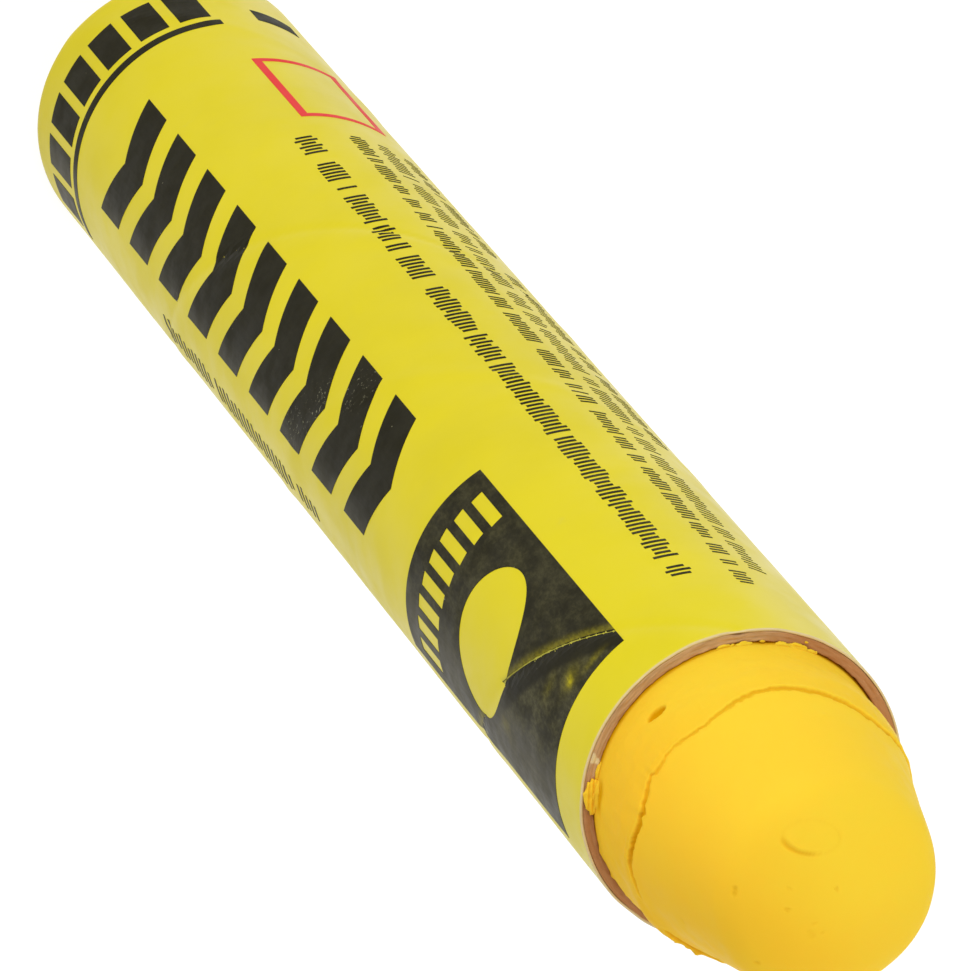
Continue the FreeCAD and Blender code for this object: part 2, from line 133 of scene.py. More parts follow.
class Nodes:
    """Adds nodes to a tree. Inputs are given as sockets to link or values to set."""

    def __init__(self, tree):
        self.tree = tree

    def feed(self, socket, value):
        if isinstance(value, bpy.types.NodeSocket):
            self.tree.links.new(value, socket)
        else:
            socket.default_value = value

    def add(self, kind, inputs=None, **settings):
        node = self.tree.nodes.new(kind)
        for name, value in settings.items():
            setattr(node, name, value)
        for key, value in (inputs or {}).items():
            self.feed(node.inputs[key], value)
        return node

    def out(self, kind, inputs=None, **settings):
        """First output of a new node."""
        return self.add(kind, inputs, **settings).outputs[0]

    def math(self, operation, *values):
        return self.out("ShaderNodeMath", dict(enumerate(values)), operation=operation)

    def vectors(self, operation, first, second):
        """Vector math, where SCALE takes a number as its second value."""
        key = "Scale" if operation == "SCALE" else 1
        return self.out("ShaderNodeVectorMath", {0: first, key: second}, operation=operation)

    def product(self, first, *rest):
        for value in rest:
            first = self.math("MULTIPLY", first, value)
        return first

    def total(self, first, *rest):
        for value in rest:
            first = self.math("ADD", first, value)
        return first

    def steps(self, value, low, high, to_low=0.0, to_high=1.0):
        """Smooth step of a value between two limits."""
        inputs = {0: value, 1: low, 2: high, 3: to_low, 4: to_high}
        return self.out("ShaderNodeMapRange", inputs, interpolation_type="SMOOTHSTEP")

    def bell(self, value, width):
        """Bell curve of height 1 round zero."""
        ratio = self.math("DIVIDE", value, width)
        return self.math("EXPONENT", self.product(ratio, ratio, -1.0))

    def noise(self, vector, scale, detail=2.0, roughness=0.5):
        inputs = {"Vector": vector, "Scale": scale, "Detail": detail, "Roughness": roughness}
        return self.out("ShaderNodeTexNoise", inputs)

    def streaks(self, vector, scales, detail, roughness):
        """Noise with a scale of its own in each direction."""
        stretched = self.out("ShaderNodeMapping", {"Vector": vector, "Scale": scales})
        return self.noise(stretched, 1.0, detail, roughness)

    def mix(self, factor, first, second):
        node = self.add("ShaderNodeMix", data_type="RGBA")
        colours = [socket for socket in node.inputs if socket.type == "RGBA"]
        self.feed(node.inputs[0], factor)
        self.feed(colours[0], first)
        self.feed(colours[1], second)
        return next(socket for socket in node.outputs if socket.type == "RGBA")

    def combine(self, x=0.0, y=0.0, z=0.0):
        return self.out("ShaderNodeCombineXYZ", {"X": x, "Y": y, "Z": z})

    def split(self, vector):
        return self.add("ShaderNodeSeparateXYZ", {0: vector}).outputs

    def place(self):
        """Place on the piece."""
        return self.add("ShaderNodeTexCoord").outputs["Object"]

    def sheet_place(self):
        """Place on the flat sheet before it was rolled: round, along, outwards."""
        return self.add("ShaderNodeAttribute", attribute_name="sheet").outputs["Vector"]

    def share_of(self, name):
        """Attribute of the mesh that holds one number per point."""
        return self.add("ShaderNodeAttribute", attribute_name=name).outputs["Fac"]


def rgba(values, shares=(1.0, 1.0, 1.0)):
    """Colour for a socket, with each part multiplied by its share."""
    return (*(part * share for part, share in zip(values, shares)), 1.0)


def emptied(holder):
    """Node builder of a material or a world, with nothing in it yet."""
    holder.use_nodes = True
    holder.node_tree.nodes.clear()
    return Nodes(holder.node_tree)


def new_material(name):
    """Empty material with a Principled surface, and its node builder."""
    material = bpy.data.materials.new(name)
    nodes = emptied(material)
    surface = nodes.add("ShaderNodeBsdfPrincipled")
    nodes.add("ShaderNodeOutputMaterial", {"Surface": surface.outputs[0]})
    return material, nodes, surface


def dress(nodes, surface, body, roughness, specular, relief, strength, depth):
    """Colour, gloss and fine relief of a surface."""
    bump = nodes.out(
        "ShaderNodeBump", {"Height": relief, "Strength": strength, "Distance": depth * MM}
    )
    surface.inputs["Specular IOR Level"].default_value = specular
    for name, value in (("Base Color", body), ("Roughness", roughness), ("Normal", bump)):
        nodes.feed(surface.inputs[name], value)


# Finishes

LABEL_GLOSS = 0.075
INK_GLOSS = 0.0225
PAINT_GLOSS = 0.015
CARD_GLOSS = 0.1
LABEL_GRAIN = (1500.0, 5.0, 0.65)
LABEL_RELIEF = (0.25, 0.012)

# Colours that wear leaves, and colours of painted shade and painted sheen
SCUFFED_LABEL = (0.62, 0.55, 0.16)
CRACK_PAINTED_SHADE = (0.30, 0.30, 0.05)
PAINTED_SHEEN_LABEL = (0.70, 0.63, 0.40)
DUST = (0.50, 0.48, 0.30)
PALE_FIBRE = (0.72, 0.50, 0.32)
PAINTED_INK_SHEEN = (0.14, 0.13, 0.10)

# Spots where the panel's ink is rubbed down to the yellow: (across, height, half width
# across, half height, share of yellow)
RUBS = (
    (22.6, 98.85, 0.24, 0.36, 0.50),
    (20.9, 98.45, 0.22, 0.30, 0.30),
    (21.5, 98.6, 0.80, 0.70, 0.18),
    (11.0, 99.5, 0.75, 0.30, 0.22),
    (30.0, 96.9, 0.70, 0.45, 0.10),
    (57.0, 91.9, 0.50, 0.70, 0.12),
)


def round_label(across):
    """Distance round the label from the front."""
    return math.radians(across) * LABEL_RADIUS


def paint_material(colours):
    """Waxy solid paint: mottled, faintly grainy, with painted shade that makes it warmer on one side
    and deeper in creases.
    """
    material, nodes, surface = new_material("Solid_Paint")
    place = nodes.place()
    mottle = nodes.steps(nodes.noise(place, 140.0, 3.0), 0.35, 0.7, 0.0, 0.3)
    # Painted shade: towards +X, the side turned from the key lamp, the paint becomes a warmer, less
    # yellow copy
    side = nodes.steps(nodes.split(place)["X"], -2.5 * MM, 4.5 * MM, 0.0, 0.7)
    shaded_side_paint = rgba(colours.paint, (1.05, 0.89, 0.8))
    body = nodes.mix(nodes.total(mottle, side), rgba(colours.paint), shaded_side_paint)
    # Painted shade: a point attribute darkens the paint towards its colour in shade
    body = nodes.mix(nodes.share_of("crease"), body, rgba(colours.painted_shade_colour))
    gloss = nodes.steps(nodes.noise(place, 900.0, 4.0, 0.6), 0.3, 0.7, 0.40, 0.56)
    grain = nodes.noise(place, 2600.0, 3.0, 0.6)
    dress(nodes, surface, body, gloss, PAINT_GLOSS, grain, 0.35, 0.02)
    surface.inputs["Subsurface Weight"].default_value = 0.15
    surface.inputs["Subsurface Radius"].default_value = (1.0, 0.45, 0.1)
    surface.inputs["Subsurface Scale"].default_value = 0.8 * MM
    return material


def label_material(colours, sizes):
    """Glossy yellow paper with faint handling marks, a pale cut edge, painted shade under the ink's
    crack and a painted sheen down one side.
    """
    material, nodes, surface = new_material("Label_Paper")
    place = nodes.place()
    sheet = nodes.split(nodes.sheet_place())
    mottle = nodes.steps(nodes.noise(place, 90.0, 4.0), 0.35, 0.75)
    body = nodes.mix(mottle, rgba(colours.label), rgba(colours.label, [0.93] * 3))
    scuffs = nodes.steps(nodes.noise(place, 420.0, 6.0, 0.7), 0.66, 0.80, 0.0, 0.15)
    body = nodes.mix(scuffs, body, rgba(SCUFFED_LABEL))
    # Painted shade: a darker, olive line along the crack in the ink
    body = nodes.mix(crack_shade(nodes, sheet, sizes), body, rgba(CRACK_PAINTED_SHADE))
    # Painted sheen: a paler, greyer band down the -X side stands in for the reflection near the
    # silhouette
    painted_sheen = nodes.product(
        nodes.steps(sheet["X"], -9.8 * MM, -6.5 * MM, 0.13, 0.0),
        nodes.steps(sheet["X"], -22.0 * MM, -14.0 * MM),
    )
    body = nodes.mix(painted_sheen, body, rgba(PAINTED_SHEEN_LABEL))
    browner = rgba(colours.paper, (0.86, 0.78, 0.66))
    paper = nodes.mix(nodes.noise(place, 1800.0, 3.0), rgba(colours.paper), browner)
    body = nodes.mix(nodes.share_of("cut_edge"), body, paper)
    gloss = nodes.steps(nodes.noise(place, 350.0, 4.0, 0.6), 0.3, 0.7, 0.28, 0.40)
    grain = nodes.noise(place, *LABEL_GRAIN)
    dress(nodes, surface, body, gloss, LABEL_GLOSS, grain, *LABEL_RELIEF)
    return material


def crack_shade(nodes, sheet, sizes):
    """How much painted shade darkens the label under the crack in the panel's ink."""
    near = nodes.bell(nodes.total(height_over_seam(nodes, sheet, sizes), 0.15 * MM), 0.4 * MM)
    after = nodes.math("GREATER_THAN", sheet["X"], round_label(PANEL["low"]) * MM)
    before = nodes.math("LESS_THAN", sheet["X"], round_label(CRACK["end"]) * MM)
    return nodes.product(near, after, before, 0.75)


def height_over_seam(nodes, sheet, sizes):
    slope = sizes.seam_pitch / (2.0 * math.pi * LABEL_RADIUS * MM)
    level = nodes.total(sheet["Y"], nodes.product(sheet["X"], slope))
    return nodes.math("SUBTRACT", level, sizes.seam_height)


def rubbed_spots(nodes, sheet):
    """The soft oval spots of RUBS as one share."""
    total = 0.0
    for across, height, half_width, half_height, share in RUBS:
        aside = nodes.math("SUBTRACT", sheet["X"], round_label(across) * MM)
        along = nodes.math("SUBTRACT", sheet["Y"], height * MM)
        spot = nodes.product(
            nodes.bell(aside, half_width * MM), nodes.bell(along, half_height * MM), share
        )
        total = nodes.total(spot, total)
    return total


def ink_wear(nodes, place, sizes):
    """Shares of the print that are rubbed dull and rubbed to yellow.

    The panel is rubbed most. A band on the mouth's side of the seam is whole, and a
    narrow strip on the seam's other side is yellow.
    """
    sheet = nodes.split(place)
    start = (PANEL["end"] - PANEL["length"]) * MM
    in_panel = nodes.steps(sheet["Y"], start - 2.0 * MM, start)
    above = height_over_seam(nodes, sheet, sizes)
    beyond = nodes.steps(above, 1.7 * MM, 2.4 * MM)
    below = nodes.steps(above, -0.10 * MM, -0.25 * MM)
    inner = nodes.steps(
        sheet["Y"], (PANEL["end"] - 0.7) * MM, (PANEL["end"] - 0.2) * MM, 1.0, 0.0
    )
    cloud = nodes.steps(
        nodes.streaks(place, (620.0, 380.0, 300.0), 5.0, 0.7), 0.36, 0.66, 0.15, 1.0
    )
    grain = nodes.steps(
        nodes.streaks(place, (4200.0, 2200.0, 3000.0), 3.0, 0.6), 0.34, 0.68, 0.6, 1.2
    )
    specks = nodes.steps(
        nodes.streaks(place, (5200.0, 2800.0, 3000.0), 3.0, 0.6), 0.30, 0.70, 0.45, 1.0
    )
    beside_seam = nodes.total(nodes.product(below, 0.34), nodes.product(beyond, 0.55))
    amount = nodes.total(nodes.product(in_panel, beside_seam), 0.05)
    strip = nodes.product(below, nodes.steps(above, -1.5 * MM, -0.2 * MM), in_panel)
    halo = nodes.product(strip, strip, specks, 0.34)
    dull = nodes.total(nodes.product(cloud, grain, amount), nodes.product(halo, 0.6))
    spots = nodes.product(rubbed_spots(nodes, sheet), grain, inner)
    return dull, nodes.math("MINIMUM", nodes.total(halo, spots), 0.9)


def dust_specks(nodes, place, sheet, sizes):
    """Pale specks in the print, most of them along the inner ply's seam."""
    few = nodes.steps(nodes.noise(place, 2300.0, 2.0, 0.6), 0.76, 0.80, 0.0, 0.45)
    over_seam = height_over_seam(nodes, sheet, sizes)
    over_inner = nodes.total(over_seam, sizes.seam_pitch - INNER_SEAM_OFFSET * MM)
    near = nodes.bell(nodes.total(over_inner, 1.2 * MM), 1.8 * MM)
    many = nodes.steps(nodes.noise(place, 3600.0, 3.0, 0.7), 0.60, 0.70, 0.0, 0.5)
    return nodes.math("MAXIMUM", few, nodes.product(many, near))


def ink_material(name, ink, rubbed, ground, sizes):
    """Printed ink: clouded and rubbed through where it was handled most, and greyed towards +X by a
    painted sheen.
    """
    material, nodes, surface = new_material(name)
    place = nodes.place()
    on_sheet = nodes.sheet_place()
    sheet = nodes.split(on_sheet)
    dull, yellow = ink_wear(nodes, on_sheet, sizes)
    body = nodes.mix(dull, rgba(ink), rgba(rubbed))
    # Painted sheen: towards +X the ink turns greyer, standing in for its reflection at grazing
    # angles
    ink_sheen_share = nodes.steps(sheet["X"], 6.0 * MM, 9.5 * MM, 0.0, 0.5)
    body = nodes.mix(ink_sheen_share, body, rgba([0.6 * part + haze for part, haze in zip(ink, PAINTED_INK_SHEEN)]))
    body = nodes.mix(yellow, body, rgba(ground, [0.72] * 3))
    body = nodes.mix(dust_specks(nodes, place, sheet, sizes), body, rgba(DUST))
    gloss = nodes.steps(nodes.noise(place, 600.0, 4.0, 0.6), 0.3, 0.7, 0.34, 0.50)
    grain = nodes.noise(place, *LABEL_GRAIN)
    dress(nodes, surface, body, gloss, INK_GLOSS, grain, *LABEL_RELIEF)
    return material


def card_material(colours):
    """Kraft card whose fibres run round the sleeve, with painted shade that makes it darker and
    redder towards both sides.
    """
    material, nodes, surface = new_material("Kraft_Card")
    place = nodes.sheet_place()
    fibres = nodes.streaks(place, (500.0, 2500.0, 6000.0), 5.0, 0.65)
    darker = rgba(colours.card, [0.74] * 3)
    body = nodes.mix(nodes.steps(fibres, 0.3, 0.7), rgba(colours.card), darker)
    round_barrel = nodes.split(place)["X"]
    # Painted shade: the card turns darker and redder towards both sides, away from the front
    painted_side_shade = nodes.total(
        nodes.steps(round_barrel, 5.3 * MM, 8.5 * MM, 0.0, 0.85),
        nodes.steps(round_barrel, -9.0 * MM, -6.0 * MM, 0.85, 0.0),
    )
    body = nodes.mix(painted_side_shade, body, rgba(colours.card, (0.67, 0.48, 0.36)))
    pale = nodes.steps(nodes.streaks(place, (900.0, 1500.0, 9000.0), 6.0, 0.7), 0.62, 0.72)
    body = nodes.mix(nodes.product(pale, 0.5), body, rgba(PALE_FIBRE))
    body = nodes.mix(nodes.share_of("torn"), body, rgba(colours.paper))
    dress(nodes, surface, body, 0.85, CARD_GLOSS, fibres, 0.6, 0.04)
    return material


# Mesh helpers

def new_mesh(name, points, faces=(), attributes=None, edges=()):
    """Mesh from points in millimetres, with attributes given per point."""
    mesh = bpy.data.meshes.new(name)
    mesh.from_pydata([Vector(point) * MM for point in points], edges, faces)
    for key, values in (attributes or {}).items():
        mesh.attributes.new(key, "FLOAT", "POINT").data.foreach_set("value", values)
    mesh.validate()
    return mesh


def add_object(name, mesh):
    piece = bpy.data.objects.new(name, mesh)
    bpy.context.scene.collection.objects.link(piece)
    return piece


def set_smooth(mesh):
    mesh.polygons.foreach_set("use_smooth", [True] * len(mesh.polygons))


def reused(store, name, make, *given):
    """The tree or material of this name, which is made when it is first asked for."""
    return store.get(name) or make(*given)


def apply_tree(piece, tree, values):
    """Runs a Geometry Nodes tree on an object and keeps the result as its mesh."""
    modifier = piece.modifiers.new(tree.name, "NODES")
    modifier.node_group = tree
    for item in tree.interface.items_tree:
        if item.item_type == "SOCKET" and item.in_out == "INPUT" and item.name in values:
            modifier[item.identifier] = values[item.name]
    graph = bpy.context.evaluated_depsgraph_get()
    graph.update()
    mesh = bpy.data.meshes.new_from_object(piece.evaluated_get(graph), depsgraph=graph)
    piece.modifiers.remove(modifier)
    piece.data = mesh
    return mesh


def grown_on(path, tree, values):
    """Points, in millimetres, and faces that a tree grows on a mesh of loose edges."""
    piece = add_object(path.name, path)
    mesh = apply_tree(piece, tree, values)
    points = [tuple(vert.co / MM) for vert in mesh.vertices]
    faces = [tuple(polygon.vertices) for polygon in mesh.polygons]
    bpy.data.objects.remove(piece)
    return points, faces


def finish_piece(piece, slot, material, *nodes):
    """Gives the piece its material, puts it under the root body and hides the CAD nodes that it
    stands for, if any.
    """
    piece.data.materials.clear()
    piece.data.materials.append(material)
    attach(piece, "root")
    if nodes:
        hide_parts(*nodes)


def ring_faces(columns, rings, first=0):
    """Quads between closed rings of points, one ring above the other."""
    faces = []
    for ring in range(rings - 1):
        low, high = first + ring * columns, first + (ring + 1) * columns
        for column in range(columns):
            following = (column + 1) % columns
            faces.append((low + column, low + following, high + following, high + column))
    return faces


def joined(parts):
    points, faces = [], []
    for some_points, some_faces in parts:
        start = len(points)
        points += some_points
        faces += [tuple(start + index for index in face) for face in some_faces]
    return points, faces


# Curves for relief

def smooth(value):
    """Smooth step from 0 to 1."""
    value = min(max(value, 0.0), 1.0)
    return value * value * (3.0 - 2.0 * value)


def blend(first, second, share):
    return first + (second - first) * share


def bell(offset, width, sharpness=2):
    """Bell curve of height 1 round zero, with a flatter top the sharper it is."""
    return math.exp(-(offset / width) ** sharpness)


def from_table(table, across):
    """Values of a table of (across, values...), smoothly between its rows."""
    for low, high in zip(table, table[1:]):
        if low[0] <= across <= high[0]:
            share = smooth((across - low[0]) / (high[0] - low[0]))
            return [blend(first, second, share) for first, second in zip(low[1:], high[1:])]
    return list(table[-1][1:])


def patch(rule, across, height):
    """Relief of a soft patch, given as in the patches below, at this place."""
    size, middle, half_width, level, half_height, sharpness = rule
    return size * bell(across - middle, half_width, sharpness) * bell(height - level, half_height)


# Geometry Nodes trees

def new_tree(name, sockets):
    """Geometry Nodes tree with named inputs, given with their defaults."""
    tree = bpy.data.node_groups.new(name, "GeometryNodeTree")
    tree.interface.new_socket("Geometry", in_out="INPUT", socket_type="NodeSocketGeometry")
    tree.interface.new_socket("Geometry", in_out="OUTPUT", socket_type="NodeSocketGeometry")
    for title, default in sockets.items():
        kind = {float: "Float", int: "Int"}.get(type(default), "Material")
        socket = tree.interface.new_socket(title, in_out="INPUT", socket_type=f"NodeSocket{kind}")
        if default is not None:
            socket.default_value = default
    nodes = Nodes(tree)
    return tree, nodes, nodes.add("NodeGroupInput").outputs


def end_tree(nodes, geometry, material):
    real = nodes.out("GeometryNodeRealizeInstances", {"Geometry": geometry})
    dressed = nodes.out("GeometryNodeSetMaterial", {"Geometry": real, "Material": material})
    nodes.add("NodeGroupOutput", {0: dressed})


def spaced_along(nodes, edges, spacing):
    """Evenly spaced points of a curve along loose edges."""
    curve = nodes.out("GeometryNodeMeshToCurve", {"Mesh": edges})
    return nodes.out(
        "GeometryNodeResampleCurve", {"Curve": curve, "Length": spacing}, mode="LENGTH"
    )


def barrel_wrap_tree():
    """Rolls a flat sheet round the barrel and gives it the relief of the spiral seams.

    The sheet lies in X (round the barrel), Y (along it) and Z (outwards).
    """
    tree, nodes, given = new_tree("Barrel Wrap", {
        "Radius": LABEL_RADIUS * MM,
        "Seam Pitch": SEAM_PITCH * MM,
        "Seam Height": SEAM_HEIGHT * MM,
        "Seam Dip": 0.05 * MM,
        "Seam Width": 0.3 * MM,
        "Inner Seam Offset": INNER_SEAM_OFFSET * MM,
        "Ripple": 0.01 * MM,
        "Relief Depth": 1.0,
        "Lap Rise": 0.0,
        "Lap Edge": -160.0,
        "Lap Ramp": 5.0,
        "Material": None,
    })
    position = nodes.out("GeometryNodeInputPosition")
    stored = nodes.out(
        "GeometryNodeStoreNamedAttribute",
        {"Geometry": given["Geometry"], "Name": "sheet", "Value": position},
        data_type="FLOAT_VECTOR", domain="POINT",
    )
    flat = nodes.split(position)
    turn = nodes.math("DIVIDE", flat["X"], LABEL_RADIUS * MM)
    sine, cosine = nodes.math("SINE", turn), nodes.math("COSINE", turn)

    # Distance from the nearest turn of a seam, square to it
    pitch = given["Seam Pitch"]
    half = nodes.product(pitch, 0.5)
    lowered = nodes.product(pitch, turn, -0.5 / math.pi)
    along = nodes.math("SUBTRACT", flat["Y"], nodes.total(given["Seam Height"], lowered))
    girth = nodes.product(given["Radius"], 2.0 * math.pi)
    square_to = nodes.math("COSINE", nodes.math("ARCTAN2", pitch, girth))

    def seam_distance(offset):
        moved = nodes.math("SUBTRACT", along, offset)
        near = nodes.math("WRAP", moved, half, nodes.product(half, -1.0))
        return nodes.product(near, square_to)

    def seam_relief(distance, widths, share):
        near = nodes.bell(distance, nodes.product(given["Seam Width"], widths))
        return nodes.product(near, given["Seam Dip"], share)

    outer = seam_distance(0.0)
    beside = nodes.math("SUBTRACT", outer, nodes.product(given["Seam Width"], 4.0))
    seams = nodes.total(
        seam_relief(outer, 1.0, -1.0),
        seam_relief(beside, 3.0, 0.4),
        seam_relief(seam_distance(given["Inner Seam Offset"]), 2.0, 0.6),
    )
    spot = nodes.combine(
        nodes.product(sine, LABEL_RADIUS),
        nodes.product(cosine, LABEL_RADIUS),
        nodes.product(flat["Y"], 1.0 / MM),
    )
    waves = nodes.math("SUBTRACT", nodes.noise(spot, 0.16), 0.5)
    ripple = nodes.product(waves, given["Ripple"], 4.0)

    # Relief fades with the depth below the outer face
    depth = nodes.math("DIVIDE", flat["Z"], given["Relief Depth"])
    share = nodes.math("MINIMUM", nodes.math("MAXIMUM", nodes.total(depth, 1.0), 0.0), 1.0)
    relief = nodes.product(nodes.total(seams, ripple), share)
    degrees = nodes.math("DEGREES", turn)
    lap_end = nodes.total(given["Lap Edge"], given["Lap Ramp"])
    lap = nodes.steps(degrees, given["Lap Edge"], lap_end, given["Lap Rise"], 0.0)
    radius = nodes.total(given["Radius"], flat["Z"], relief, lap)
    rolled = nodes.combine(
        nodes.product(radius, sine), nodes.product(radius, cosine, -1.0), flat["Y"]
    )
    moved = nodes.out("GeometryNodeSetPosition", {"Geometry": stored, "Position": rolled})
    end_tree(nodes, moved, given["Material"])
    return tree


def roll_up(piece, sizes, material, values):
    """Rolls a flat piece round the barrel. The values may change any input of the tree."""
    tree = reused(bpy.data.node_groups, "Barrel Wrap", barrel_wrap_tree)
    return apply_tree(piece, tree, {
        "Radius": LABEL_RADIUS * MM,
        "Seam Pitch": sizes.seam_pitch,
        "Seam Height": sizes.seam_height,
        "Seam Dip": sizes.seam_dip,
        "Material": material,
        **values,
    })


def small_print_tree():
    """Rows of upright ticks of uneven height, broken by gaps, along each edge."""
    tree, nodes, given = new_tree("Small Print", {
        "Pitch Scale": 1.0, "Gap Share": 0.14, "Seed": 4, "Material": None,
    })

    def of_row(name):
        return nodes.out("GeometryNodeInputNamedAttribute", {"Name": name}, data_type="FLOAT")

    pitch = nodes.product(of_row("row_pitch"), given["Pitch Scale"])
    spaced = spaced_along(nodes, given["Geometry"], pitch)
    tick = nodes.out("GeometryNodeMeshGrid", {
        "Size X": 1.0, "Size Y": 1.0, "Vertices X": 6, "Vertices Y": 2,
    })
    index = nodes.out("GeometryNodeInputIndex")
    chance = nodes.add(
        "FunctionNodeRandomValue", {"ID": index, "Seed": given["Seed"]}, data_type="FLOAT"
    ).outputs[1]
    height = nodes.product(of_row("row_height"), nodes.steps(chance, 0.35, 0.9, 1.0, 0.62))
    along_row = nodes.combine(nodes.product(index, 0.36), 3.7)
    kept = nodes.math(
        "GREATER_THAN", nodes.noise(along_row, 1.0, 0.0), nodes.total(given["Gap Share"], 0.24)
    )
    ticks = nodes.out("GeometryNodeInstanceOnPoints", {
        "Points": spaced, "Selection": kept, "Instance": tick,
        "Scale": nodes.combine(height, of_row("row_stroke"), 1.0),
    })
    end_tree(nodes, ticks, given["Material"])
    return tree


def crumb_tree():
    """Lumps of uneven size and turn along an edge."""
    tree, nodes, given = new_tree("Rim Crumbs", {
        "Spacing": 0.25 * MM, "Smallest": 0.08 * MM, "Largest": 0.25 * MM,
        "Scatter": 0.15 * MM, "Seed": 7, "Material": None,
    })

    def draw(low, high, offset):
        """Random vector or number with a seed of its own."""
        seed = nodes.out("FunctionNodeIntegerMath", {0: given["Seed"], 1: offset}, operation="ADD")
        if isinstance(low, tuple):
            limits, kind, output = {"Min": low, "Max": high}, "FLOAT_VECTOR", 0
        else:
            limits, kind, output = {2: low, 3: high}, "FLOAT", 1
        limits["Seed"] = seed
        return nodes.add("FunctionNodeRandomValue", limits, data_type=kind).outputs[output]

    spaced = spaced_along(nodes, given["Geometry"], given["Spacing"])
    aside = nodes.vectors("SCALE", draw((-1.0, -1.0, -0.3), (1.0, 1.0, 0.5), 1), given["Scatter"])
    shaken = nodes.out("GeometryNodeSetPosition", {"Geometry": spaced, "Offset": aside})
    size = draw(given["Smallest"], given["Largest"], 2)
    scale = nodes.vectors("SCALE", draw((0.7, 0.5, 0.45), (1.5, 1.0, 0.9), 3), size)
    lumps = nodes.out("GeometryNodeInstanceOnPoints", {
        "Points": shaken,
        "Instance": nodes.out("GeometryNodeMeshIcoSphere", {"Radius": 1.0, "Subdivisions": 3}),
        "Scale": scale,
        "Rotation": draw((-0.5, -0.5, -3.14), (0.5, 0.5, 3.14), 4),
    })
    real = nodes.out("GeometryNodeRealizeInstances", {"Geometry": lumps})
    rough = nodes.add("ShaderNodeTexNoise", {
        "Vector": nodes.out("GeometryNodeInputPosition"),
        "Scale": 4200.0, "Detail": 3.0, "Roughness": 0.7,
    }).outputs[1]
    centred = nodes.vectors("SUBTRACT", rough, (0.5, 0.5, 0.5))
    push = nodes.vectors("SCALE", centred, nodes.product(given["Largest"], 1.1))
    worn = nodes.out("GeometryNodeSetPosition", {"Geometry": real, "Offset": push})
    end_tree(nodes, worn, given["Material"])
    return tree


# Shape of the paint stick

NOSE_TAPER = math.radians(11.8)
CONE_RADIUS_AT_MOUTH = BORE + 0.62
SHOULDER_RADIUS = 3.45
TIP_RADIUS = BORE - 0.4
COLLAR_RADIUS = BORE - 0.16
COLLAR_STRAIGHT = 3.6
SHRINK_DEPTH = 2.6
SHRINK_GAP = 0.22
SHRINK_CLEARANCE = 0.03
SHRINK_SIDE = -100.0
SHRINK_FLOOR = 0.35
FLASH_HEIGHT = 5.23
FLASH_WAVES = (
    (1, 0.08, -148.0), (2, 0.26, -84.0), (3, 0.19, 31.0), (4, 0.50, 104.0),
    (5, 0.43, -72.0), (8, 0.15, -53.0), (9, 0.09, 33.0),
)
LIP_DROP = 0.14
PAINT_COLUMNS = 480
COLLAR_ROWS = 60
NOSE_ROWS = 112

# Lip and crevice of the flash edge: (height from the edge, radius from the cone as a
# share of the lip's height, painted shade)
LIP = (
    (-0.09, 1.00, 0.0),
    (-0.04, 0.90, 0.0),
    (0.00, 0.55, 0.15),
    (0.00, 0.00, 0.55),
    (0.01, -0.60, 0.95),
    (0.07, -0.85, 1.0),
    (0.15, -0.60, 0.75),
    (0.22, -0.20, 0.30),
)
CREVICE_WIDTH = 0.30
# The crevice round the stick: (across, depth, width)
CREVICE = (
    (-180.0, 0.5, 0.8), (-118.0, 0.9, 1.0), (-70.0, 0.8, 1.2), (-24.0, 0.7, 1.2),
    (-2.0, 0.55, 0.8), (12.0, 0.35, 0.6), (22.5, 0.55, 0.8), (24.5, 0.35, 0.5),
    (27.0, 0.7, 0.9), (38.0, 1.2, 1.1), (55.0, 1.3, 1.15), (70.0, 0.6, 0.9),
    (77.0, 0.25, 0.8), (81.0, 0.0, 0.7), (95.0, 0.0, 0.7), (98.5, 0.9, 1.1),
    (112.0, 1.0, 1.0), (180.0, 0.5, 0.8),
)

# How far the collar's foot swells towards the card: (across, swell)
FOOT_SWELL = (
    (-180.0, 0.0), (-110.0, 0.04), (-90.0, 0.10), (-74.0, 0.12), (-60.0, 0.16),
    (-50.0, 0.13), (-44.0, 0.09), (-38.0, 0.13), (-28.0, 0.15), (-18.0, 0.11),
    (0.0, 0.09), (20.0, 0.065), (40.0, 0.045), (60.0, 0.028), (80.0, 0.02),
    (110.0, 0.0), (180.0, 0.0),
)

# Patches of relief: (size, across, half its width, height above the mouth, half its
# height, sharpness of its sides)
CHIP_GROOVE = (0.10, 48.5, 6.5, 0.6, 0.32, 4)
FLASH_BULGE = (0.24, 94.0, 12.0, 3.9, 1.2, 2)
COLLAR_BULGE = (0.16, 86.0, 26.0, 1.1, 1.3, 2)

# Holes and, with a depth below zero, bumps: (height above the mouth, across, half its
# width, half its height, depth, painted shade, drop of its width towards +X)
HOLES = (
    (2.2, 7.0, 0.62, 0.32, 0.31, 1.30, 13.0),
    (14.03, 43.9, 0.34, 0.13, 0.06, 0.36, 0.0),
    (15.64, 48.8, 0.15, 0.13, 0.05, 0.24, 0.0),
    (15.55, 28.2, 0.13, 0.13, 0.03, 0.12, 0.0),
    (14.25, 90.9, 0.15, 0.15, 0.06, 0.24, 0.0),
    (16.12, -13.9, 0.13, 0.13, 0.04, 0.24, 0.0),
    (15.95, 85.0, 0.32, 0.22, 0.015, 0.12, 0.0),
    (16.05, 70.0, 0.12, 0.10, 0.02, 0.14, 0.0),
    (16.08, 94.0, 0.10, 0.10, 0.02, 0.16, 0.0),
    (8.72, 78.9, 0.22, 0.22, 0.03, 0.10, 0.0),
    (7.43, -51.2, 0.30, 0.26, -0.03, 0.0, 0.0),
    (2.7, -8.4, 0.50, 0.28, -0.03, 0.0, 10.0),
)
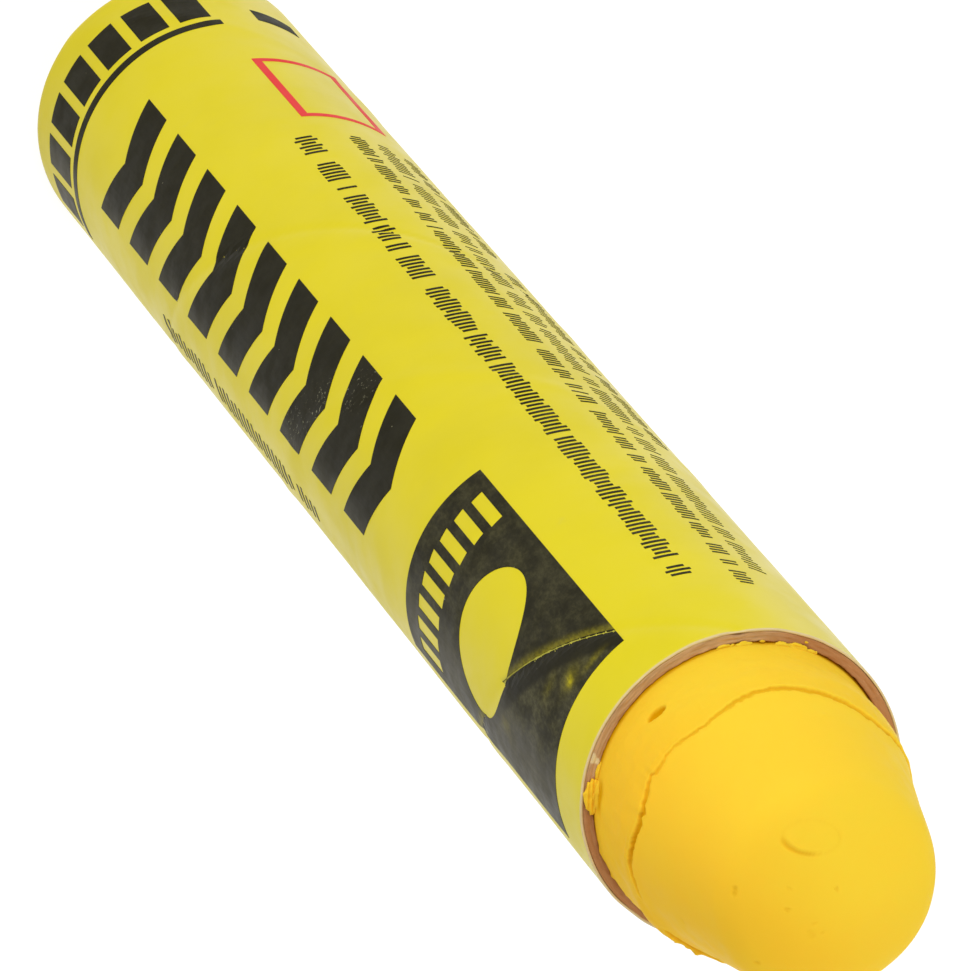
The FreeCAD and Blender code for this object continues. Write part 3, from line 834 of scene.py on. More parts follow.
# The sprue mark: (height, across, half its width, half its height, drop)
SPRUE_MARK = (15.05, -15.0, 1.50, 0.90, 28.0)
SPRUE_CRESCENT_TURN = 0.95


def heading(across):
    turn = math.radians(across)
    return Vector((math.sin(turn), -math.cos(turn), 0.0))


def surface_point(radius, height, across):
    return heading(across) * radius + Vector((0.0, 0.0, SLEEVE_LENGTH + height))


def facing_of(angle, across):
    return heading(across) * math.cos(angle) + Vector((0.0, 0.0, math.sin(angle)))


def cone_radius(height):
    return CONE_RADIUS_AT_MOUTH - height * math.tan(NOSE_TAPER)


class NoseProfile:
    """Cone, shoulder arc and tip arc of the nose, followed by length along them."""

    def __init__(self):
        slope = math.tan(NOSE_TAPER)
        self.tip_centre = NOSE_HEIGHT - TIP_RADIUS
        reach = TIP_RADIUS - SHOULDER_RADIUS
        offset = cone_radius(self.tip_centre) - SHOULDER_RADIUS / math.cos(NOSE_TAPER)
        spread = 1.0 + slope ** 2
        square = (offset * slope) ** 2 - spread * (offset ** 2 - reach ** 2)
        rise = (offset * slope + math.sqrt(square)) / spread
        self.centre = (offset - rise * slope, self.tip_centre + rise)
        self.join = math.atan2(rise, self.centre[0])
        self.cone_length = self.travel_to_cone(
            self.centre[1] + SHOULDER_RADIUS * math.sin(NOSE_TAPER)
        )
        self.shoulder_end = self.cone_length + SHOULDER_RADIUS * (self.join - NOSE_TAPER)
        self.length = self.shoulder_end + TIP_RADIUS * (math.pi / 2 - self.join)

    def at(self, travel):
        """Radius, height and angle of facing after this length up from the mouth."""
        if travel <= self.cone_length:
            height = travel * math.cos(NOSE_TAPER)
            return cone_radius(height), height, NOSE_TAPER
        if travel <= self.shoulder_end:
            angle = NOSE_TAPER + (travel - self.cone_length) / SHOULDER_RADIUS
            radius = self.centre[0] + SHOULDER_RADIUS * math.cos(angle)
            return radius, self.centre[1] + SHOULDER_RADIUS * math.sin(angle), angle
        angle = self.join + (travel - self.shoulder_end) / TIP_RADIUS
        angle = min(angle, math.pi / 2)
        return TIP_RADIUS * math.cos(angle), self.tip_centre + TIP_RADIUS * math.sin(angle), angle

    def travel_to(self, height):
        low, high = 0.0, self.length
        for _ in range(40):
            middle = (low + high) / 2
            if self.at(middle)[1] < height:
                low = middle
            else:
                high = middle
        return low

    def travel_to_cone(self, height):
        return height / math.cos(NOSE_TAPER)


PROFILE = NoseProfile()


class Mark:
    """Place on the collar or the nose, with directions round and up the surface."""

    def __init__(self, height, across, half_width, half_height, drop):
        if height < FLASH_HEIGHT - 1.0:
            around, angle = COLLAR_RADIUS, 0.0
        else:
            around, height, angle = PROFILE.at(PROFILE.travel_to(height))
        self.centre = surface_point(around, height, across)
        self.facing = facing_of(angle, across)
        side = Vector((0.0, 0.0, 1.0)).cross(heading(across))
        turn = math.radians(drop)
        self.side = side * math.cos(turn) - self.facing.cross(side) * math.sin(turn)
        self.up = self.facing.cross(self.side)
        self.half_width, self.half_height = half_width, half_height

    def spot(self, point):
        """Place of a point in half widths and half heights, or None if it is far off."""
        offset = point - self.centre
        if offset.length > 2.0 * max(self.half_width, self.half_height):
            return None
        return offset.dot(self.side) / self.half_width, offset.dot(self.up) / self.half_height


class Hole(Mark):
    """Round or long hole with soft edges."""

    def __init__(self, height, across, half_width, half_height, depth, painted_tint, drop):
        super().__init__(height, across, half_width, half_height, drop)
        self.depth, self.painted_tint = depth, painted_tint

    def relief(self, side, up):
        """Depth and painted shade at this place in half widths and half heights."""
        far = math.hypot(side, up)
        # Painted shade fills the hole out a little past its soft rim
        hole_painted_shade = 1.0 - smooth((far - 0.72) / 0.45)
        return (1.0 - smooth((far - 0.60) / 0.50)) * self.depth, hole_painted_shade * self.painted_tint


class SprueMark(Mark):
    """Faint oval ring that the mould left near the tip, deeper in a crescent."""

    def relief(self, side, up):
        """Depth and painted shade at this place in half widths and half heights."""
        far = math.hypot(side, up)
        turn = math.atan2(up, side) - SPRUE_CRESCENT_TURN
        crescent_side = smooth((math.cos(turn) - 0.50) / 0.40)
        ring = bell(far - 0.97, blend(0.06, 0.10, crescent_side))
        flap = crescent_side * bell(far - 0.77, 0.09)
        groove = ring * blend(0.022, 0.10, crescent_side)
        # The second value is painted shade in the ring, strongest along the crescent
        return groove - 0.06 * flap, ring * blend(0.08, 0.50, crescent_side)


def flash_height(across):
    """Height of the flash edge without its finer raggedness."""
    return FLASH_HEIGHT + sum(
        size * math.cos(math.radians(count * across - phase))
        for count, size, phase in FLASH_WAVES
    )


def flash_step(across):
    """Height that the crevice gains where one part of it ends and the next begins."""
    return 0.20 * smooth((24.5 - across) / 1.5) * smooth((across - 8.0) / 12.0)


def flash_teeth(across, spot):
    """Ragged teeth of the flash edge past its bulge, with one long tooth."""
    ragged = max(1.0 + 0.6 * noise.noise(spot * 3.3) + 0.7 * noise.noise(spot * 9.0), 0.0)
    return 0.10 * bell(across - 104.5, 6.0, 4) * ragged + 0.18 * bell(across - 109.8, 0.9)


class FlashEdge:
    """Edge of the collar at one angle across, with the crevice over it."""

    def __init__(self, across, proud_size, lump_size):
        self.across, self.proud_size, self.lump_size = across, proud_size, lump_size
        self.spot = spot = heading(across) * COLLAR_RADIUS
        self.even_height = flash_height(across)
        ragged = noise.noise(spot * 2.6) * 0.09 + noise.noise(spot * 6.0) * 0.07
        ragged += noise.noise(spot * 13.0) * 0.04
        self.height = self.even_height + ragged + flash_step(across)
        self.depth, width = from_table(CREVICE, across)
        self.width = width * (1.0 + 0.7 * noise.noise(spot * 2.1 + Vector((0.0, 7.0, 0.0))))
        wobble = 1.0 + 0.6 * noise.noise(spot * 1.1)
        shown = (0.25 + 0.75 * min(self.depth, 1.0)) * smooth(self.depth / 0.2)
        teeth = flash_teeth(across, spot) * smooth(self.depth / 0.5)
        self.proud = proud_size * wobble * shown + teeth


def mouth_radius(across):
    """Radius of the paint in the mouth, where it has shrunk to one side."""
    radius = BORE - (SHRINK_GAP + SHRINK_CLEARANCE) / 2
    shift = (SHRINK_GAP - SHRINK_CLEARANCE) / 2
    turn = math.radians(across - SHRINK_SIDE)
    return math.sqrt(radius ** 2 - (shift * math.sin(turn)) ** 2) - shift * math.cos(turn)


def foot_swell(across, height):
    return from_table(FOOT_SWELL, across)[0] * bell(height, 0.7)


def rim_bumps(across, height):
    """Small bumps of paint that lie on the card, on the side where the stick is tight."""
    tight = smooth((across - 60.0) / 14.0) * smooth((116.0 - across) / 10.0)
    spot = heading(across) * COLLAR_RADIUS * 1.7 + Vector((0.0, 3.0, 8.0))
    return 0.22 * tight * max(noise.noise(spot), 0.0) * bell(height - 0.16, 0.14)


def second_ridge(across, under_edge, spot):
    """Ragged bits and a second low ridge on the collar just under the flash edge."""
    near = bell(across - 17.0, 9.0) + 0.7 * bell(across - 62.0, 16.0)
    bits = max(noise.noise(spot * 5.0 + Vector((4.0, 0.0, 1.0))), 0.0)
    ridge = bell(under_edge - 0.34, 0.10) * (0.4 + bits)
    return near * (0.06 * ridge - 0.05 * bell(under_edge - 0.18, 0.08))


def collar_lumps(point, size):
    broad = noise.noise(point * 0.45) * 1.1
    middle = noise.noise(point * 1.3 + Vector((9.0, 4.0, 2.0))) * 0.7
    return (broad + middle + noise.noise(point * 4.0) * 0.22) * size


def nose_lumps(point):
    broad = noise.noise(point * 0.22 + Vector((3.0, 1.0, 5.0))) * 0.05
    return broad + noise.noise(point * 0.9) * 0.012 + noise.noise(point * 3.5) * 0.002


# Points of the paint stick at one angle across. Each function takes the flash edge
# there and a value, and gives the point and its share of painted shade, the darkening put into
# creases and gaps.

def rear_point(edge, radius):
    return heading(edge.across) * radius + Vector((0.0, 0.0, REAR_RECESS)), 0.0


def core_point(edge, height):
    return heading(edge.across) * (BORE - 0.01) + Vector((0.0, 0.0, height)), 0.0


def foot_point(edge, height):
    """Point below the mouth: the gap's floor, or the shrunk paint over it."""
    shown = mouth_radius(edge.across) + foot_swell(edge.across, height)
    radius = shown if height > -SHRINK_FLOOR else BORE - 0.02
    # The gap below the mouth gets a painted shade of 0.9
    return surface_point(radius, height, edge.across), 0.9


def collar_point(edge, share):
    """Point of the collar, from the mouth (share 0) to just under its lip (1)."""
    across = edge.across
    height = (edge.even_height - LIP_DROP) * share
    if height < COLLAR_STRAIGHT:
        radius = blend(mouth_radius(across), COLLAR_RADIUS, smooth(height / COLLAR_STRAIGHT))
    else:
        part = (height - COLLAR_STRAIGHT) / max(edge.even_height - COLLAR_STRAIGHT, 0.2)
        radius = blend(COLLAR_RADIUS, cone_radius(edge.even_height) + edge.proud, part ** 1.4)
    radius += foot_swell(across, height) + rim_bumps(across, height)
    radius += patch(COLLAR_BULGE, across, height)
    height *= edge.height / edge.even_height
    groove = patch(CHIP_GROOVE, across, height)
    radius += patch(FLASH_BULGE, across, height) - groove
    radius += second_ridge(across, edge.height - height, edge.spot)
    point = surface_point(radius, height, across)
    settled = smooth(height / 0.8) * (1.0 - smooth((share - 0.9) / 0.1) * 0.6)
    point += heading(across) * collar_lumps(point, edge.lump_size) * settled
    # Painted shade: strong at the collar's foot beside the card and in the chip groove, faint over
    # the whole collar
    foot = (0.95 - 0.3 * bell(across + 46.0, 22.0)) * (1.0 - smooth(height / 0.30))
    return point, max(foot, 0.12, 9.0 * groove)


def lip_point(edge, row):
    rise, part, painted_tint = row
    height = edge.height + rise * edge.width
    radius = cone_radius(height) + part * (edge.proud if part > 0 else edge.proud_size * edge.depth)
    radius += patch(FLASH_BULGE, edge.across, height)
    # Painted shade in the crevice under the lip, stronger where the crevice is deeper
    crease = painted_tint * min(0.1 + 0.65 * edge.depth, 1.0) * smooth(edge.depth / 0.1)
    return surface_point(radius, height, edge.across), crease


def nose_point(edge, share):
    """Point of the nose, from the crevice (share 0) to the tip (1)."""
    start = PROFILE.travel_to_cone(edge.height + CREVICE_WIDTH * edge.width)
    radius, height, angle = PROFILE.at(blend(start, PROFILE.length, share))
    point = surface_point(radius + patch(FLASH_BULGE, edge.across, height), height, edge.across)
    lift = nose_lumps(point) * smooth(share * 10.0) - 0.02 + 0.03 * bell(share, 0.03)
    return point + facing_of(angle, edge.across) * lift, 0.0


SHOWN = (collar_point, lip_point, nose_point)


def paint_rows():
    """Rows of the paint stick from its rear to its tip, as (function, value) pairs."""
    rows = [(rear_point, radius) for radius in (3.0, 6.4, BORE - 0.22)]
    core = (REAR_RECESS + 0.2, 30.0, 60.0, SLEEVE_LENGTH - SHRINK_DEPTH)
    rows += [(core_point, height) for height in core]
    foot = (-SHRINK_DEPTH, -SHRINK_DEPTH / 2, -SHRINK_FLOOR, -0.12)
    rows += [(foot_point, height) for height in foot]
    rows += [(collar_point, step / COLLAR_ROWS) for step in range(COLLAR_ROWS + 1)]
    rows += [(lip_point, row) for row in LIP]
    rows += [(nose_point, step / NOSE_ROWS) for step in range(NOSE_ROWS)]
    return rows


def marked(point, crease, marks):
    """The point with the marks pressed into it, and the painted shade that they add to it."""
    for mark in marks:
        spot = mark.spot(point)
        if spot:
            depth, painted_tint = mark.relief(*spot)
            point = point - mark.facing * depth
            crease = max(crease, painted_tint)
    return point, crease


def paint_stick_mesh(sizes):
    """Whole casting as one closed mesh: core, collar, flash edge and nose."""
    marks = [Hole(*values) for values in HOLES] + [SprueMark(*SPRUE_MARK)]
    proud_size, lump_size = sizes.flash_proud / MM, sizes.collar_roughness / MM
    edges = [
        FlashEdge(360.0 * column / PAINT_COLUMNS - 180.0, proud_size, lump_size)
        for column in range(PAINT_COLUMNS)
    ]
    rows = paint_rows()
    points = [Vector((0.0, 0.0, REAR_RECESS))]
    # Painted shade of each point: 0 for plain paint, 1 for the paint's colour in shade
    creases = [0.0]
    for make_point, value in rows:
        for edge in edges:
            point, crease = make_point(edge, value)
            if make_point in SHOWN:
                point, crease = marked(point, crease, marks)
            points.append(point)
            creases.append(crease)
    tip = len(points)
    points.append(Vector((0.0, 0.0, SLEEVE_LENGTH + NOSE_HEIGHT)))
    creases.append(0.0)
    faces = ring_faces(PAINT_COLUMNS, len(rows), 1)
    last = tip - PAINT_COLUMNS
    for column in range(PAINT_COLUMNS):
        following = (column + 1) % PAINT_COLUMNS
        faces.append((0, 1 + following, 1 + column))
        faces.append((last + column, last + following, tip))
    return new_mesh("Paint_Stick", points, faces, {"crease": creases})


# Sleeve and label, as flat rings of points that the tree rolls up

SLEEVE_COLUMNS = 480
LABEL_COLUMNS = 380
HALF_LAP_ANGLE = 19.7
LAP_RAMP_ANGLE = 5.3
LAP_SUNK = 0.04
MOUTH_PLIES = 3
TEAR_ACROSS = 35.0


def swept(profile, angles, closed):
    """Sweeps a closed profile of (height, depth, cut) points round the barrel."""
    points, faces, cuts = [], [], []
    for angle in angles:
        for height, depth, cut in profile:
            points.append((round_label(angle), height, depth))
            cuts.append(cut)
    size, columns = len(profile), len(angles)
    for column in range(columns if closed else columns - 1):
        low, high = column * size, (column + 1) % columns * size
        for row in range(size):
            after = (row + 1) % size
            faces.append((low + row, high + row, high + after, low + after))
    return points, faces, cuts


def spread_between(start, end, count):
    return [blend(start, end, step / count) for step in range(count)]


def sleeve_profile():
    """Closed loop: rear end, outer face up, mouth end with its plies, bore down."""
    top, inside_face = SLEEVE_LENGTH, -SLEEVE_WALL
    loop = [(0.0, depth, 0.0) for depth in spread_between(inside_face, 0.0, 4)]
    loop += [(height, 0.0, 0.0) for height in spread_between(0.0, top - 0.05, 130)]
    loop += [(top - 0.05, 0.0, 0.0)]
    loop += [(top, depth, 1.0) for depth in spread_between(-0.04, inside_face + 0.05, 9)]
    loop += [(top, inside_face + 0.05, 1.0), (top - 0.06, inside_face, 1.0)]
    loop += [(height, inside_face, 0.0) for height in (top - 0.6, top - 3.0, 60.0, 30.0)]
    return loop


def label_profile():
    """Closed loop: rear edge, outer face up, rounded edge at the mouth, inner face down."""
    top, inner = SLEEVE_LENGTH, -LABEL_THICKNESS
    loop = [(0.0, inner, 1.0), (0.0, -0.01, 1.0), (0.03, 0.0, 0.0)]
    loop += [(height, 0.0, 0.0) for height in spread_between(0.4, top - 0.3, 222)]
    loop += [(top - 0.3, 0.0, 0.0), (top - 0.14, 0.0, 0.1), (top - 0.08, -0.004, 0.7)]
    loop += [(top - 0.04, -0.012, 1.0), (top, -0.04, 1.0), (top, inner, 1.0)]
    loop += [(height, inner, 0.0) for height in (top - 1.0, 70.0, 35.0, 1.0)]
    return loop


def rim_wear(across, height):
    """How far the rim of the sleeve and its label is worn down on one side."""
    return -0.45 * bell(across - 102.0, 9.0) * smooth((height - SLEEVE_LENGTH + 3.0) / 2.7)


def frayed(x, y, z):
    """Place on the mouth's end, where its plies show and its inner edge is uneven."""
    spot = Vector((x * 1.6, 0.0, z * 5.0))
    y += 0.05 * noise.noise(spot) + 0.03 * noise.noise(spot * 3.0) - 0.03
    y += 0.04 * (z + SLEEVE_WALL)
    y -= 0.02 * abs(math.sin(z / SLEEVE_WALL * math.pi * MOUTH_PLIES))
    inner = smooth((-z / SLEEVE_WALL - 0.7) / 0.3)
    z += inner * abs(0.06 * noise.noise(spot * 1.4) + 0.04 * noise.noise(spot * 4.0))
    return y, z


def cardboard_sleeve_mesh():
    angles = [step * 360.0 / SLEEVE_COLUMNS - 180.0 for step in range(SLEEVE_COLUMNS)]
    points, faces, cuts = swept(sleeve_profile(), angles, True)
    shaped, torn = [], []
    for (x, y, z), cut in zip(points, cuts):
        if cut:
            y, z = frayed(x, y, z)
        across = math.degrees(x / LABEL_RADIUS)
        near = abs(across - TEAR_ACROSS + z * 3.0) / (2.0 + 2.0 * z)
        ragged = 0.3 * noise.noise(Vector((x * 2.0, z * 6.0, 3.0)))
        torn.append(cut * smooth((1.1 - near - ragged) / 0.3))
        shaped.append((x, y + rim_wear(across, y), z))
    return new_mesh("Cardboard_Sleeve", shaped, faces, {"cut_edge": cuts, "torn": torn})


def paper_label_mesh():
    reach = 180.0 + HALF_LAP_ANGLE
    angles = [-reach + 2.0 * reach * step / LABEL_COLUMNS for step in range(LABEL_COLUMNS + 1)]
    profile = label_profile()
    points, faces, cuts = swept(profile, angles, False)
    faces.append(tuple(range(len(profile))))
    faces.append(tuple(reversed(range(len(points) - len(profile), len(points)))))
    shaped = []
    for x, y, z in points:
        if y > SLEEVE_LENGTH - 0.2:
            y += 0.08 * noise.noise(Vector((x * 0.6, 7.0, 0.0)))
            y += 0.02 * noise.noise(Vector((x * 3.0, 2.0, 0.0))) - 0.02
        shaped.append((x, y + rim_wear(math.degrees(x / LABEL_RADIUS), y), z))
    return new_mesh("Paper_Label", shaped, faces, {"cut_edge": cuts})


# Print, drawn flat: loops of (across, height) corners

CHEVRON = dict(count=9, start=14.1, pitch=6.1, bar=3.7, point=2.4, low=4.6, high=52.7)
PANEL = dict(low=-1.2, high=77.5, end=SLEEVE_LENGTH - 4.1, length=26.6, lean=2.2)
DOT = dict(radius=4.0, from_end=12.9, across=38.0, corners=72)
RUNG = dict(count=8, length=3.6, width=0.8, inset=2.2, first=6.0, step=9.0)
TAIL = dict(
    start=-39.0, line=8.0, line_width=0.8, block=2.8, block_width=4.5, count=7, span=12.5, gap=4.5,
)
TAB = dict(low=-75.0, high=-56.0, start=5.5, end=7.4)
RED_FRAME = dict(low=-74.0, high=-38.0, start=15.0, end=25.2, line=0.5)
CRACK = dict(
    start=-1.1, end=44.0, step=1.1, above_seam=0.05, drop=0.0086, narrow=0.04, wide=0.09,
)
# Rows of small print: (lowest angle, highest angle, start, end, pitch, stroke)
TEXT_ROWS = (
    (-36.8, -27.9, 28.5, 96.3, 0.50, 0.25),
    (-56.3, -49.8, 28.5, 97.7, 0.38, 0.15),
    (-67.4, -60.2, 28.5, 95.4, 0.42, 0.09),
    (-78.0, -71.2, 28.5, 75.2, 0.46, 0.06),
    (67.0, 77.0, 24.0, 57.0, 0.80, 0.28),
)


def outline(corners, spacing=0.3):
    """Loop of points in millimetres round the barrel and along it."""
    ring = [(round_label(across), height) for across, height in corners]
    points = []
    for start, end in zip(ring, ring[1:] + ring[:1]):
        steps = max(1, round(math.dist(start, end) / spacing))
        points += [
            (blend(start[0], end[0], step / steps), blend(start[1], end[1], step / steps))
            for step in range(steps)
        ]
    return points


def box_loop(low, high, start, end):
    return outline([(low, start), (high, start), (high, end), (low, end)])


def inside(point, loops):
    """Even-odd test of a point against loops."""
    x, y = point
    odd = False
    for loop in loops:
        for (here_x, here_y), (last_x, last_y) in zip(loop, loop[-1:] + loop[:-1]):
            if (here_y > y) != (last_y > y):
                odd ^= x < (last_x - here_x) * (y - here_y) / (last_y - here_y) + here_x
    return odd


def fill(loops, spacing=0.45):
    """Triangles inside the first loop and outside the others, with an even grid."""
    points, edges = [], []
    for loop in loops:
        first = len(points)
        points += [Vector(point) for point in loop]
        edges += [(first + step, first + (step + 1) % len(loop)) for step in range(len(loop))]
    xs, ys = zip(*loops[0])
    for column in range(1, int((max(xs) - min(xs)) / spacing)):
        for row in range(1, int((max(ys) - min(ys)) / spacing)):
            stagger = (column % 2) * spacing / 2
            spot = (min(xs) + column * spacing, min(ys) + row * spacing + stagger)
            if inside(spot, loops):
                points.append(Vector(spot))
    verts, _, triangles, *_ = delaunay_2d_cdt(points, edges, [], 0, 1e-5)
    kept = []
    for triangle in triangles:
        middle = sum((verts[index] for index in triangle), Vector((0.0, 0.0))) / len(triangle)
        if inside(middle, loops):
            kept.append(tuple(triangle))
    return [(vert.x, vert.y, 0.0) for vert in verts], kept


def chevron_loops():
    low, high = CHEVRON["low"], CHEVRON["high"]
    middle = (low + high) / 2
    for number in range(CHEVRON["count"]):
        start = CHEVRON["start"] + number * CHEVRON["pitch"]
        top = start + CHEVRON["bar"]
        yield [outline([
            (low, start), (middle, start + CHEVRON["point"]), (high, start),
            (high, top), (middle, top + CHEVRON["point"]), (low, top),
        ])]


def dot_loop():
    """Round dot on the panel."""
    loop = []
    for step in range(DOT["corners"]):
        turn = 2.0 * math.pi * step / DOT["corners"]
        reach = math.asin(DOT["radius"] * math.cos(turn) / LABEL_RADIUS)
        loop.append((
            (math.radians(DOT["across"]) + reach) * LABEL_RADIUS,
            PANEL["end"] - DOT["from_end"] + DOT["radius"] * math.sin(turn),
        ))
    return loop


def crack_loop(sizes):
    """Ragged line where the ink has cracked, a little below the seam."""
    upper, lower = [], []
    count = round((CRACK["end"] - CRACK["start"]) / CRACK["step"])
    for step in range(count + 1):
        across = blend(CRACK["start"], CRACK["end"], step / count)
        height = (sizes.seam_height - sizes.seam_pitch * across / 360.0) / MM
        height += CRACK["above_seam"] - CRACK["drop"] * (across - CRACK["start"])
        height += 0.05 * noise.noise(Vector((across * 0.5, 3.0, 0.0)))
        uneven = abs(noise.noise(Vector((across * 0.21, 9.0, 0.0)))) * 2.0
        half_width = blend(CRACK["narrow"], CRACK["wide"], uneven)
        upper.append((round_label(across), height + half_width))
        lower.append((round_label(across), height - half_width))
    return upper + lower[::-1]


def panel_loops(sizes):
    """Panel with a clear dot, clear rungs and a crack where the seam broke the ink."""
    low, high, end = PANEL["low"], PANEL["high"], PANEL["end"]
    start = end - PANEL["length"]
    loops = [outline([(low, start + PANEL["lean"]), (high, start), (high, end), (low, end)])]
    loops.append(dot_loop())
    half = math.degrees(RUNG["width"] / LABEL_RADIUS) / 2
    for number in range(RUNG["count"]):
        across = RUNG["first"] + number * RUNG["step"]
        lean = PANEL["lean"] * (high - across) / (high - low)
        foot = start + lean + RUNG["inset"]
        loops.append(box_loop(across - half, across + half, foot, foot + RUNG["length"]))
    loops.append(crack_loop(sizes))
    return loops


def tail_loops():
    """Line, tab and blocks at the rear end."""
    pitch = TAIL["span"] + TAIL["gap"]
    line_end = TAIL["start"] + TAIL["count"] * pitch
    yield [box_loop(TAIL["start"], line_end, TAIL["line"], TAIL["line"] + TAIL["line_width"])]
    yield [box_loop(TAB["low"], TAB["high"], TAB["start"], TAB["end"])]
    for number in range(TAIL["count"]):
        low = TAIL["start"] + TAIL["gap"] / 2 + number * pitch
        yield [box_loop(low, low + TAIL["span"], TAIL["block"], TAIL["block"] + TAIL["block_width"])]


def red_frame_loops():
    line = RED_FRAME["line"]
    inset = math.degrees(line / LABEL_RADIUS)
    low, high, start, end = (RED_FRAME[key] for key in ("low", "high", "start", "end"))
    return [
        box_loop(low, high, start, end),
        box_loop(low + inset, high - inset, start + line, end - line),
    ]


def small_print(material):
    """Flat ticks for every row of small print."""
    points, edges = [], []
    rules = {"row_height": [], "row_pitch": [], "row_stroke": []}
    for low, high, start, end, pitch, stroke in TEXT_ROWS:
        x = round_label((low + high) / 2)
        edges.append((len(points), len(points) + 1))
        points += [(x, start, 0.0), (x, end, 0.0)]
        for values, value in zip(rules.values(), (round_label(high - low), pitch, stroke)):
            values += [value * MM] * 2
    path = new_mesh("Small_Print_Rows", points, (), rules, edges)
    tree = reused(bpy.data.node_groups, "Small Print", small_print_tree)
    return grown_on(path, tree, {"Material": material})


def film(points, faces, thickness):
    """Closed film on a flat shape: both faces and the edge between them."""
    count = len(points)
    closed = [tuple(reversed(face)) for face in faces]
    closed += [tuple(index + count for index in face) for face in faces]
    sides = dict.fromkeys(
        (start, end) for face in faces for start, end in zip(face, face[1:] + face[:1])
    )
    for start, end in sides:
        if (end, start) not in sides:
            closed.append((start, end, end + count, start + count))
    return list(points) + [(x, y, thickness) for x, y, _ in points], closed


def facing_up(points, faces):
    """The same faces, all counter-clockwise."""
    turned = []
    for face in faces:
        a, b, c = (points[index] for index in face[:3])
        area = (b[0] - a[0]) * (c[1] - a[1]) - (b[1] - a[1]) * (c[0] - a[0])
        turned.append(face if area > 0 else tuple(reversed(face)))
    return turned


def add_print(name, flat, sizes, material, slot, node):
    """Rolls a flat print round the label as a thin film."""
    points, faces = flat
    points, faces = film(points, facing_up(points, faces), sizes.ink_thickness / MM)
    piece = add_object(name, new_mesh(name, points, faces))
    roll_up(piece, sizes, material, {"Relief Depth": 1.0})
    finish_piece(piece, slot, material, node)


# Crumbs and flakes of paint on the rim

CRUMB_PATH_STEPS = 20
FLAKE_COLUMNS = 48
FLAKE_ROWS = 16

# Runs of crumbs on the rim: (from, to, radius, height, spacing, smallest, largest, scatter)
CRUMB_RUNS = (
    (42.0, 57.0, 8.05, 0.06, 0.34, 0.04, 0.10, 0.10),
    (-40.0, -26.5, 7.90, 0.04, 0.34, 0.05, 0.12, 0.09),
    (-66.0, -49.0, 7.88, 0.05, 0.30, 0.05, 0.14, 0.10),
)

# Flakes squeezed over the rim: (across, radius, height, half length, half width, half
# thickness, lean)
FLAKES = (
    (49.2, 8.21, 0.12, 0.98, 0.38, 0.17, 0.0),
    (48.6, 7.96, 0.22, 0.86, 0.20, 0.17, 20.0),
    (-28.6, 8.02, 0.03, 0.40, 0.13, 0.06, 0.0),
    (-36.0, 7.93, 0.06, 0.50, 0.22, 0.10, 10.0),
    (-43.8, 8.05, 0.02, 0.16, 0.07, 0.04, 0.0),
    (-51.6, 7.92, 0.06, 0.46, 0.20, 0.10, 0.0),
    (-57.4, 7.91, 0.05, 0.66, 0.26, 0.11, 8.0),
    (-60.6, 8.34, 0.03, 0.11, 0.06, 0.03, 0.0),
    (-63.6, 7.92, 0.03, 0.45, 0.14, 0.07, 0.0),
    (40.0, 7.98, 0.00, 0.55, 0.15, 0.12, 0.0),
)


def signed_power(value, exponent):
    return math.copysign(abs(value) ** exponent, value)


def flake_shape(across, radius, height, half_length, half_width, half_thickness, lean):
    """Thin flake with a ragged outline that follows the rim, as points and faces."""
    tilt = math.radians(lean)
    points = []
    for row in range(FLAKE_ROWS + 1):
        rise = -math.pi / 2 + math.pi * row / FLAKE_ROWS
        for column in range(FLAKE_COLUMNS):
            turn = 2.0 * math.pi * column / FLAKE_COLUMNS
            spot = Vector((math.cos(turn) * 1.3, math.sin(turn) * 1.3, across * 0.37))
            ragged = 1.0 + 0.30 * noise.noise(spot) + 0.20 * noise.noise(spot * 3.1)
            ragged += 0.10 * noise.noise(spot * 7.3)
            flat = signed_power(math.cos(rise), 0.6) * ragged
            along = half_length * flat * math.cos(turn)
            wide = half_width * flat * math.sin(turn)
            thick = half_thickness * signed_power(math.sin(rise), 0.8)
            strands = 0.3 * math.sin(wide * 30.0 + along)
            thick *= 1.0 + 0.4 * noise.noise(Vector((along * 2.2, wide * 6.0, across))) + strands
            out = wide * math.cos(tilt) - thick * math.sin(tilt)
            up = wide * math.sin(tilt) + thick * math.cos(tilt)
            point = surface_point(radius + out, height + up, across + math.degrees(along / radius))
            points.append(tuple(point))
    return points, ring_faces(FLAKE_COLUMNS, FLAKE_ROWS + 1)


def flake_painted_shade(across):
    """Painted shade of a flake's points, deeper on its underside, most of all beside the groove."""
    deepest = 0.7 if across > 0.0 else 0.35
    creases = []
    for row in range(FLAKE_ROWS + 1):
        crease = deepest * (1.0 - smooth((row / FLAKE_ROWS - 0.3) / 0.3))
        creases += [crease] * FLAKE_COLUMNS
    return creases


def crumb_run(sizes, material, number):
    """Points and faces of one run of crumbs."""
    low, high, radius, height, *rule = CRUMB_RUNS[number]
    path = new_mesh(
        "Crumb_Path",
        [
            surface_point(radius, height, blend(low, high, step / CRUMB_PATH_STEPS))
            for step in range(CRUMB_PATH_STEPS + 1)
        ],
        edges=[(step, step + 1) for step in range(CRUMB_PATH_STEPS)],
    )
    names = ("Spacing", "Smallest", "Largest", "Scatter")
    values = {name: value * MM for name, value in zip(names, rule)}
    values.update({"Seed": sizes.crumb_seed + number, "Material": material})
    return grown_on(path, reused(bpy.data.node_groups, "Rim Crumbs", crumb_tree), values)


def crumbs_mesh(sizes, material):
    parts = [crumb_run(sizes, material, number) for number in range(len(CRUMB_RUNS))]
    creases = [0.0] * sum(len(points) for points, _ in parts)
    for flake in FLAKES:
        parts.append(flake_shape(*flake))
        creases += flake_painted_shade(flake[0])
    return new_mesh("Paint_Crumbs", *joined(parts), {"crease": creases})


# Stage

